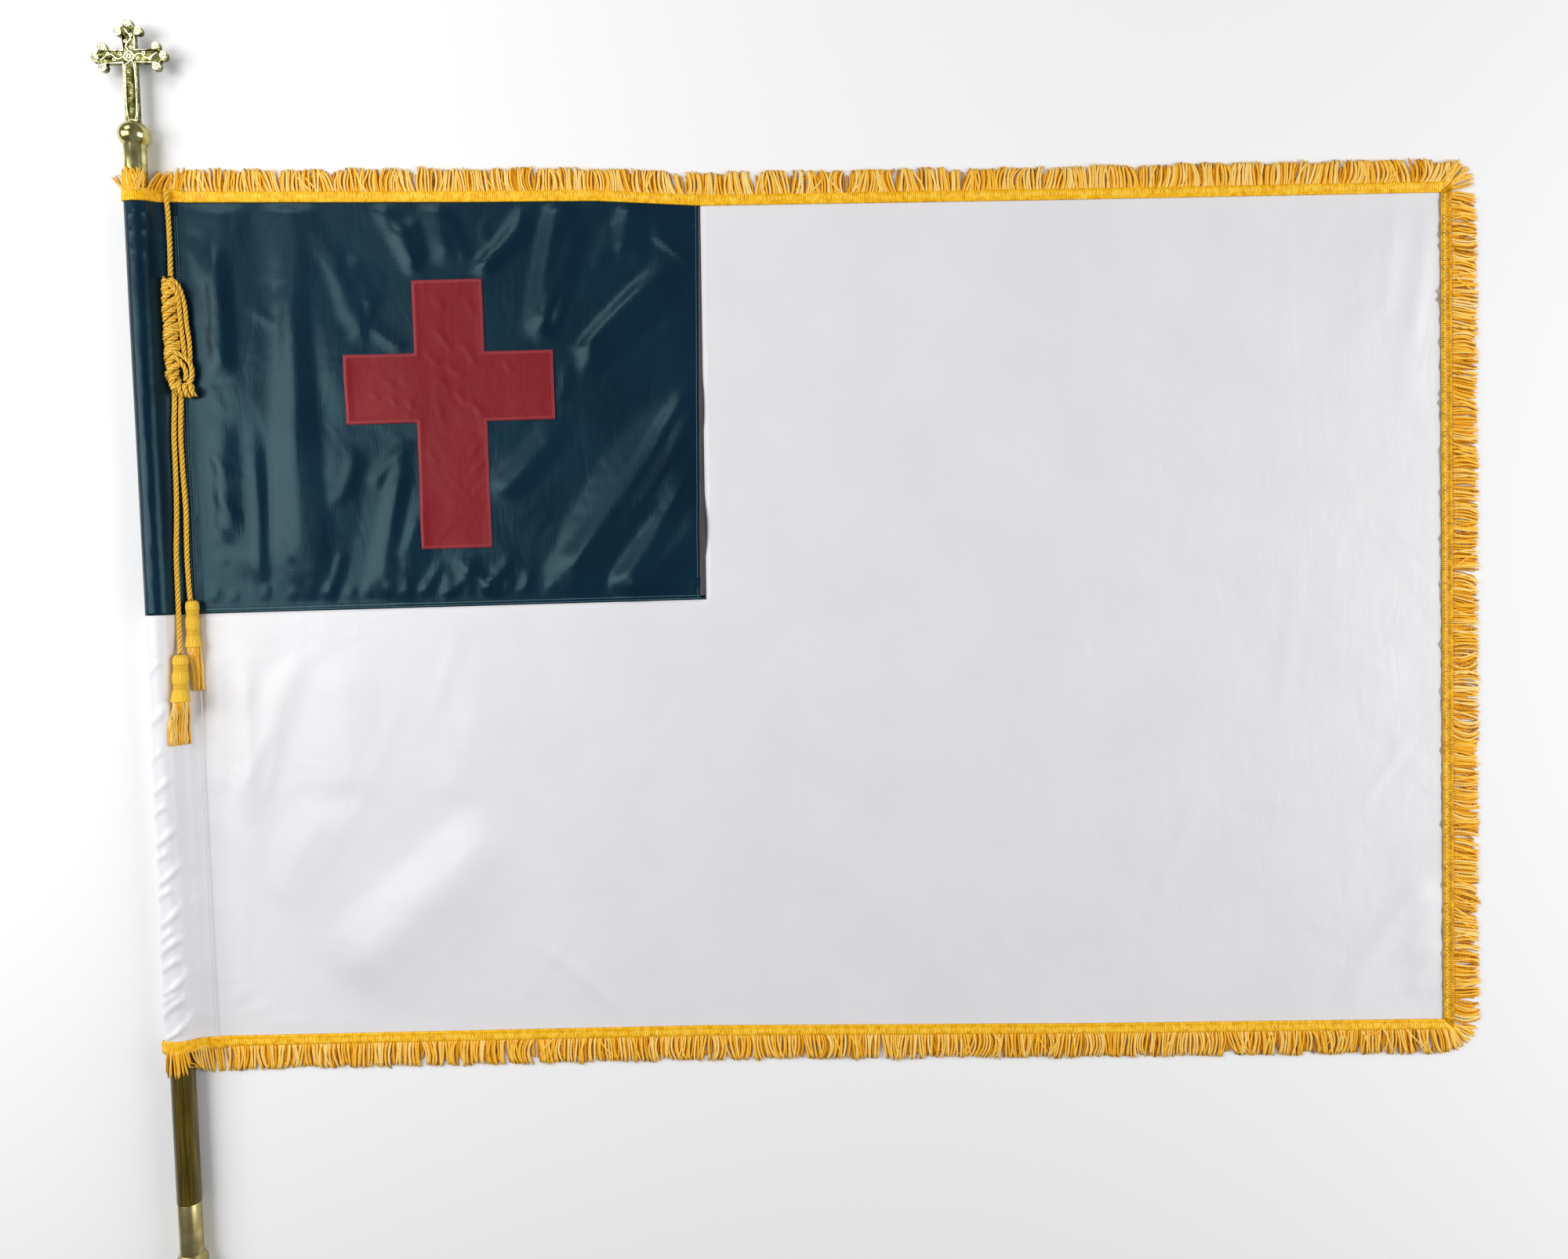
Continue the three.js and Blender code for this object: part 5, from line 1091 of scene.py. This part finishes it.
def loose_tuft():
    """Frayed strands at the top tape's end, which point away from the sleeve."""
    luck = np.random.default_rng(51)
    count = 9
    share = np.linspace(0, 1, count)
    roots = np.stack([POLE_X - 17.5 + 3 * share, TOP_EDGE[0][1] + 3 + 10 * share, 9 + 3 * share], axis=1)
    tips = np.stack([POLE_X - 43 + 26 * share, TOP_EDGE[0][1] + 37 - 3 * share, 2 + 0 * share], axis=1)
    tips[:, :2] += luck.normal(0, 1.6, (count, 2))
    bends = luck.normal(0, 3, count)
    return strands(roots, tips, bends, 2.0, 2.0, np.clip(0.36 + luck.normal(0, 0.12, count), 0, 1), thick=2.4)


top_sleeve_fringe = fringe_piece(
    "fringe_top_sleeve", [sleeve_strands(TOP_EDGE, 1, 14.2, 21, 31.0, 5.0),
                          sleeve_strands(TOP_EDGE, 1, 15.6, 27, 26.0, 8.0), loose_tuft()],
    sleeve_tape(TOP_EDGE, 1, 0.6))
bottom_sleeve_fringe = fringe_piece("fringe_bottom_sleeve", [sleeve_strands(BOTTOM_EDGE, -1, 16.0, 22)],
                                    sleeve_tape(BOTTOM_EDGE, -1, 6))


# Tassels: a wooden mould wound with satin rayon thread, with two bands of fine wraps, over a skirt of
# twisted strands. They lie on the sleeve at the rope's two ends.
TASSEL_HEAD = [(0, 6.5), (2.5, 9.6), (8, 10.4), (13, 10.3), (14, 9.2), (15.6, 10.2), (17.2, 9.0), (18.8, 10.2),
               (20.4, 9.0), (22, 10.2), (23.2, 9.2), (24.5, 10.4), (31, 10.9), (38.5, 10.3), (39.6, 9.2),
               (41.2, 10.3), (42.8, 9.1), (44.4, 10.3), (46, 9.1), (47.6, 10.3), (48.8, 9.4), (50, 10.6),
               (56, 11.2), (61, 12.2), (64.5, 13)]
SKIRT = 60.0
HEAD_LONG = 64.6
SKIRT_LAY = 2.8
WRAP_STEP = 1.4
SKIRT_STRAND = 1.15
SKIRT_RINGS = 9
SKIRT_APART = 41000.0

# Satin rayon: brighter and smoother than the rope, with fine wraps across the bands and threads down the rest.
tassel_rayon, tree, shader = material("gold_rayon_tassel", Roughness=0.36, Specular_Tint=RAYON_SHINE)
pattern = add(tree, "ShaderNodeMix", {"data_type": "FLOAT"}, {
    0: mark(tree, "band"), 2: waves(tree, mark(tree, "around"), 2 * math.pi / 30),
    3: waves(tree, mark(tree, "down"), WRAP_STEP)}).outputs[0]
coloured(tree, shader, scaled(tree, pattern, 0.22, 0.55), [(0.3, "#e89200"), (0.5, "#ffc41a"), (0.8, "#ffe868")])
bumped(tree, shader, pattern, 0.8, 0.0004)


def tassel(name, node, across, y, z, lean_x, lean_z, size, skirt, seed):
    """A tassel from its head's top at a place beside the pole, with its skirt between two distances from it."""
    luck = np.random.default_rng(seed)
    at = np.arange(0, HEAD_LONG, 0.8)
    half = by_table(TASSEL_HEAD, at) * size
    bands = (((at > 13.5) & (at < 23)) | ((at > 39.5) & (at < 48.5))).astype(float)
    sides = 40
    angle = 2 * math.pi * np.arange(sides) / sides
    centre_x, centre_z = POLE_X + across + lean_x * at, z + lean_z * at
    x = centre_x[:, None] + half[:, None] * np.cos(angle)
    high = centre_z[:, None] + half[:, None] * 0.9 * np.sin(angle)
    high = np.maximum(high, cloth_top(x - POLE_X) + 0.5)
    head = np.stack([x, np.repeat((y - at)[:, None], sides, 1), high], axis=-1)
    points, faces = skin(head[None])
    marks = {"around": np.tile(angle, len(at)), "down": np.repeat(at, sides), "band": np.repeat(bands, sides)}
    made = piece(name + "_head", points, faces, tassel_rayon, marks)
    layers = []
    for share, lift, count, low_turn, high_turn in (
            (1.0, 1.0, 18, 200, 340), (0.92, 2.6, 14, 190, 350), (0.74, 4.4, 11, 165, 15), (0.5, 6.2, 7, 150, 30)):
        spread = np.linspace(-1, 1, count) * share
        tip_x = POLE_X + (skirt[0] + skirt[1]) / 2 + spread * (skirt[1] - skirt[0]) / 2 + luck.normal(0, 0.5, count)
        turn = np.radians(np.linspace(low_turn, high_turn, count))
        root_x = centre_x[-1] + half[-1] * 0.75 * np.cos(turn)
        root_z = centre_z[-1] + half[-1] * 0.65 * np.sin(turn)
        rings, turns = [], []
        for k in range(SKIRT_RINGS):
            t = k / (SKIRT_RINGS - 1)
            px = root_x + (tip_x - root_x) * eased(t * 1.6) + luck.normal(0, 0.35, count)
            py = y - 62 - (SKIRT + 3) * t + 0 * px
            floor = cloth_top(px - POLE_X) + 0.9 + lift
            pz = np.maximum(root_z + (floor - root_z) * eased(t * 1.6), floor)
            rings.append(strand_ring(np.stack([px, py, pz], axis=1), np.array([1.0, 0, 0]), SKIRT_STRAND))
            turns.append(strand_turn(root_x * SKIRT_APART, t * SKIRT / SKIRT_LAY))
        layers.append(strand_mesh(rings, turns, np.clip(0.66 + luck.normal(0, 0.2, count), 0, 1)))
    points, faces, marks = joined(layers)
    fall = piece(name + "_skirt", points, faces, fringe_rayon, marks)
    return [fitted(made, "gold_tassel", node), fitted(fall, "gold_tassel", node)]


left_tassel = tassel("left_tassel", "tassel_left", 28.4, -23, 24.3, 0, 0.095, 1.0, (12.4, 28.5), 31)
right_tassel = tassel("right_tassel", "tassel_right", 41.4, 51, 11.2, -0.02, 0.01, 0.88, (33, 48), 32)


# Pole: a turned hardwood staff, 32 mm thick, that the sleeve is on. It is stained very dark and varnished,
# so it is glossy and shows its grain only as fine streaks along it.
def turned(radius, y):
    """A round piece about the pole's axis, by its radius at each place along it and each angle."""
    sides = radius.shape[1]
    angle = 2 * math.pi * np.arange(sides) / sides
    return skin(np.stack([POLE_X + radius * np.sin(angle), np.repeat(y[:, None], sides, 1),
                          POLE_Z - radius * np.cos(angle)], axis=-1)[None])


def turned_piece(name, profile, finish, slot, node, sides=72):
    """A turned or drawn piece from (radius, y) rows."""
    rows = np.asarray(profile, float)
    made = piece(name, *turned(np.repeat(rows[:, :1], sides, 1), rows[:, 1]), finish)
    made.data.set_sharp_from_angle(angle=math.radians(40))
    return fitted(made, slot, node)


varnished_wood, tree, shader = material("varnished_hardwood", Roughness=0.34, Coat_Weight=0.25, Coat_Roughness=0.2,
                                        Specular_Tint=linear("#d8c890"))
place = add(tree, "ShaderNodeTexCoord").outputs["Object"]
stretched = add(tree, "ShaderNodeMapping", {"Scale": (1, 0.04, 1)}, {"Vector": place}).outputs["Vector"]
grain = noise(tree, 320.0, 5.0, space=stretched)
coloured(tree, shader, grain, [(0.3, "#2a2202"), (0.5, "#4a3c08"), (0.7, "#665414")])
bumped(tree, shader, grain, 0.3, 0.0003)
turned_piece("wooden_pole", [(12.3, -833), (12.3, -793.2), (15.6, -793.2), (16, -792), (16, 594.6), (15, 596),
                             (12.3, 596), (12.3, 636)], varnished_wood, "varnished_wood", "pole")


# Finial: a cast brass cross over a spun ball and a drawn socket, polished bright and lacquered. Its shine is
# a mirror's with a few duller clouds, and the cast face is dark in its hollows.
polished_brass, tree, shader = material("polished_brass", Metallic=1.0, Roughness=0.16)
stain = noise(tree, 60.0, 4.0)
coloured(tree, shader, stain, [(0.3, "#948c54"), (0.5, "#c6bc7c"), (0.75, "#f0e8b4")])
bumped(tree, shader, stain, 0.15, 0.0003)

BALL_Y = 681.0
BALL_RADIUS = 20.5
BALL_HALF = 18.5
TUBE_RADIUS = 14.2
ball_low = -BALL_HALF * math.sqrt(1 - (TUBE_RADIUS / BALL_RADIUS) ** 2)
angles = np.linspace(math.asin(ball_low / BALL_HALF), math.pi / 2 - 0.03, 40)
turned_piece("brass_ball", [(TUBE_RADIUS - 2, BALL_Y + ball_low)] + [
    (BALL_RADIUS * math.cos(a), BALL_Y + BALL_HALF * math.sin(a)) for a in angles
], polished_brass, "polished_brass", "finial_ball", 96)
ferrule_top = BALL_Y + ball_low - 0.3
turned_piece("brass_socket", [(12.6, 636.3), (12.6, 596.3), (13.8, 596.3), (14.2, 597), (14.2, 600), (14.0, 600.6),
                              (14.2, 601.2), (14.2, ferrule_top - 3), (14.2, ferrule_top)],
             polished_brass, "polished_brass", "finial_ferrule")

CROSS_Y = 784.4
ARM_HALF, SIDE_REACH, TOP_REACH = 9.2, 51.5, 49.5
STEM_LONG = CROSS_Y - BALL_Y - BALL_HALF + 1
FREE_ARMS = ((1, 0, SIDE_REACH), (0, 1, TOP_REACH), (-1, 0, SIDE_REACH))
LOBE, END_LOBE, LOBE_OUT, LOBE_BACK = 6.3, 6.8, 13.0, 9.0


def on_arm(out_x, out_y, spots):
    """Places along and beside an arm, turned to the way it points."""
    return [(out_x * a - out_y * b, out_y * a + out_x * b) for a, b in spots]


def cross_outline(inset, stem):
    """The cast cross's outline about its crossing, drawn in by a distance. Three lobes end each free arm."""
    half, lobe = ARM_HALF - inset, LOBE - inset
    lift = LOBE_OUT - half
    meet = math.degrees(math.atan2(lift, math.sqrt(max(0.0, lobe ** 2 - lift ** 2))))
    points = [(half, -stem)]
    for out_x, out_y, reach in FREE_ARMS:
        end = reach - END_LOBE
        back = end - LOBE_BACK
        spots = [(half, -half)]
        for along_arm, off, radius, start, stop in (
                (back, -LOBE_OUT, lobe, 180 - meet, 400), (end, 0, END_LOBE - inset, -110, 110),
                (back, LOBE_OUT, lobe, -40, 180 + meet)):
            for v in np.radians(np.linspace(start, stop, 15)):
                spots.append((along_arm + radius * math.cos(v), off + radius * math.sin(v)))
        points += on_arm(out_x, out_y, spots)
    return points + [(-half, -half), (-half, -stem)]


def bead(line, radius):
    """A half-sunk raised line on the cross's face, through places about its crossing."""
    spots = [(POLE_X + x, CROSS_Y + y, POLE_Z + 3.3) for x, y in line]
    points, _ = along_line(spots, 1.0)
    _, side, up = frames(points)
    angle = 2 * math.pi * np.arange(6) / 6
    ring = points[:, None] + radius * (side[:, None] * np.cos(angle)[:, None] + up[:, None] * np.sin(angle)[:, None])
    return skin(ring[None])


def arc(x, y, radius, start, stop):
    """Places round a circle, between two angles in degrees."""
    return [(x + radius * math.cos(v), y + radius * math.sin(v)) for v in np.radians(np.linspace(start, stop, 22))]


def cast_relief():
    """The cross's ornament: a rosette, a vine with curls along each free arm, rings in the lobes, and a rim
    round the stem's field."""
    made = [bead(arc(0, 0, 6.4, 0, 356), 1.0), bead(arc(0, 0, 2.2, 0, 356), 0.9)]
    made += [bead(arc(3.9 * math.cos(v), 3.9 * math.sin(v), 1.6, 0, 350), 0.6) for v in np.radians([45, 135, 225, 315])]
    for out_x, out_y, reach in FREE_ARMS:
        end = reach - END_LOBE
        vine = [(7.5 + t * (end - 14), 3.4 * math.sin(t * 2.5 * math.pi)) for t in np.linspace(0, 1, 30)]
        lines = [(vine, 1.0)]
        lines += [(arc(a, b, 1.9, 0, 340), 0.8) for a, b in ((12, -3.6), (20, 3.8), (28, -3.8))]
        for a, b in ((end - LOBE_BACK, -LOBE_OUT), (end, 0), (end - LOBE_BACK, LOBE_OUT)):
            lines += [(arc(a, b, 3.3, 0, 352), 1.0), (arc(a, b, 0.9, 0, 340), 1.2)]
        made += [bead(on_arm(out_x, out_y, line), radius) for line, radius in lines]
    half, low = ARM_HALF - 3.4, -STEM_LONG + 8
    made.append(bead([(-half, -11), (-half, low), (half, low), (half, -11), (-half, -11)], 0.8))
    return made


def cast_cross():
    """The cross's body: a raised rim round a sunk field, on both faces."""
    section = [(2.6, 2.9), (2.2, 3.2), (1.9, 4.0), (0.9, 4.0), (0.25, 3.6), (0, 3.0)]
    rings = [(inset, -high) for inset, high in section] + section[::-1]
    return skin(np.array([[[(POLE_X + x, CROSS_Y + y, POLE_Z + high) for x, y in
                            cross_outline(inset, STEM_LONG - (2.4 if inset > 1.8 else 0))] for inset, high in rings]]))


# Cast brass: rougher than the spun parts, with a fine pebbled field, dark where polish doesn't reach.
cast_brass, tree, shader = material("cast_brass", Metallic=1.0, Roughness=0.2)
coloured(tree, shader, scaled(tree, mark(tree, "raised"), 0.55, noise(tree, 130.0, 4.0)),
         [(0.3, "#23260c"), (0.5, "#55562a"), (0.75, "#b6b078"), (1.0, "#fbf6cc")])
bumped(tree, shader, noise(tree, 520.0), 0.5, 0.0006)
body = cast_cross()
cross_points, cross_faces = merge([body, *cast_relief()])
raised = np.ones(len(cross_points))
raised[:len(body[0])] = np.clip((body[0][:, 2] - POLE_Z - 2.9) / 1.1, 0.05, 0.8)
finial_cross = piece("brass_cross", cross_points, cross_faces, cast_brass, {"raised": raised})
finial_cross.data.set_sharp_from_angle(angle=math.radians(50))
fitted(finial_cross, "polished_brass", "finial_cross")


# Joint: where the pole's next section screws on, a drawn brass socket and a turned collar with a knurled
# grip. Handling has dulled them to a soft, cloudy shine.
worn_brass, tree, shader = material("handled_brass", Metallic=1.0, Roughness=0.34)
stain = noise(tree, 45.0, 6.0)
coloured(tree, shader, stain, [(0.3, "#8f8350"), (0.55, "#b4a673"), (0.8, "#cfc595")])
bumped(tree, shader, stain, 0.2, 0.0003)
turned_piece("joint_socket", [(12.6, -833), (12.6, -793.5), (15, -793.5), (15.3, -794.2), (15.3, -864.6), (15.3, -865)],
             worn_brass, "worn_brass", "joint_ferrule")


def knurled_collar():
    """A tapered ring with two sets of slanting grooves that cross."""
    sides = 144
    y = np.concatenate([[-865.3], np.linspace(-866, -886.5, 30), [-888]])
    base = np.interp(y, [-888, -886.5, -873.3, -865.3], [19, 20.5, 20.5, 15.7])
    angle = 2 * math.pi * np.arange(sides) / sides
    depth = np.interp(y, [-888, -886, -885, -874, -871], [0, 0, 1, 1, 0])
    cut = 0.6 * (np.abs(np.sin(angle[None] * 18 + y[:, None] * 0.9)) *
                 np.abs(np.sin(angle[None] * 18 - y[:, None] * 0.9)))
    return turned(base[:, None] - depth[:, None] * cut, y)


fitted(piece("knurled_collar", *knurled_collar(), worn_brass), "worn_brass", "joint_collar")


# Each cord's length along its route, in metres; the values are not kept.
route_length(UPPER_ROUTE)
route_length(LEFT_ROUTE)
route_length(RIGHT_ROUTE)


# Floor and light: a plain pale floor and three softboxes, at the pole's side, beyond the finial and at
# the fly's side. The first two shine on the folds' flanks that face them.
floor_finish, tree, shader = material("pale_floor", Roughness=0.9, Base_Color=linear("#f7f7f7"))
floor = piece("floor", [(-4000, -4000, 0), (4000, -4000, 0), (4000, 4000, 0), (-4000, 4000, 0)],
              [[0, 1, 2, 3]], floor_finish, smooth=False)


def softbox(name, place, toward, size, watts):
    lamp = bpy.data.lights.new(name, "AREA")
    lamp.shape = "RECTANGLE"
    lamp.size, lamp.size_y = size
    lamp.energy = watts
    made = bpy.data.objects.new(name, lamp)
    made.location = place
    made.rotation_euler = (Vector(toward) - Vector(place)).to_track_quat("-Z", "Y").to_euler()
    bpy.context.collection.objects.link(made)


softbox("pole_side", (-2.35, 0.4, 2.0), (0, 0, 0), (1.3, 2.6), 60)
softbox("fly_side", (3.3, -0.1, 1.7), (0, 0, 0), (2.4, 2.6), 97)
softbox("finial_side", (-1.65, 2.1, 1.8), (-0.3, 0.3, 0), (1.1, 1.1), 18)
world = bpy.data.worlds.new("studio")
world.use_nodes = True
world.node_tree.nodes["Background"].inputs["Color"].default_value = (0.3, 0.305, 0.315, 1)
world.node_tree.nodes["Background"].inputs["Strength"].default_value = 0.74
bpy.context.scene.world = world
bpy.context.scene.view_settings.view_transform = "Standard"
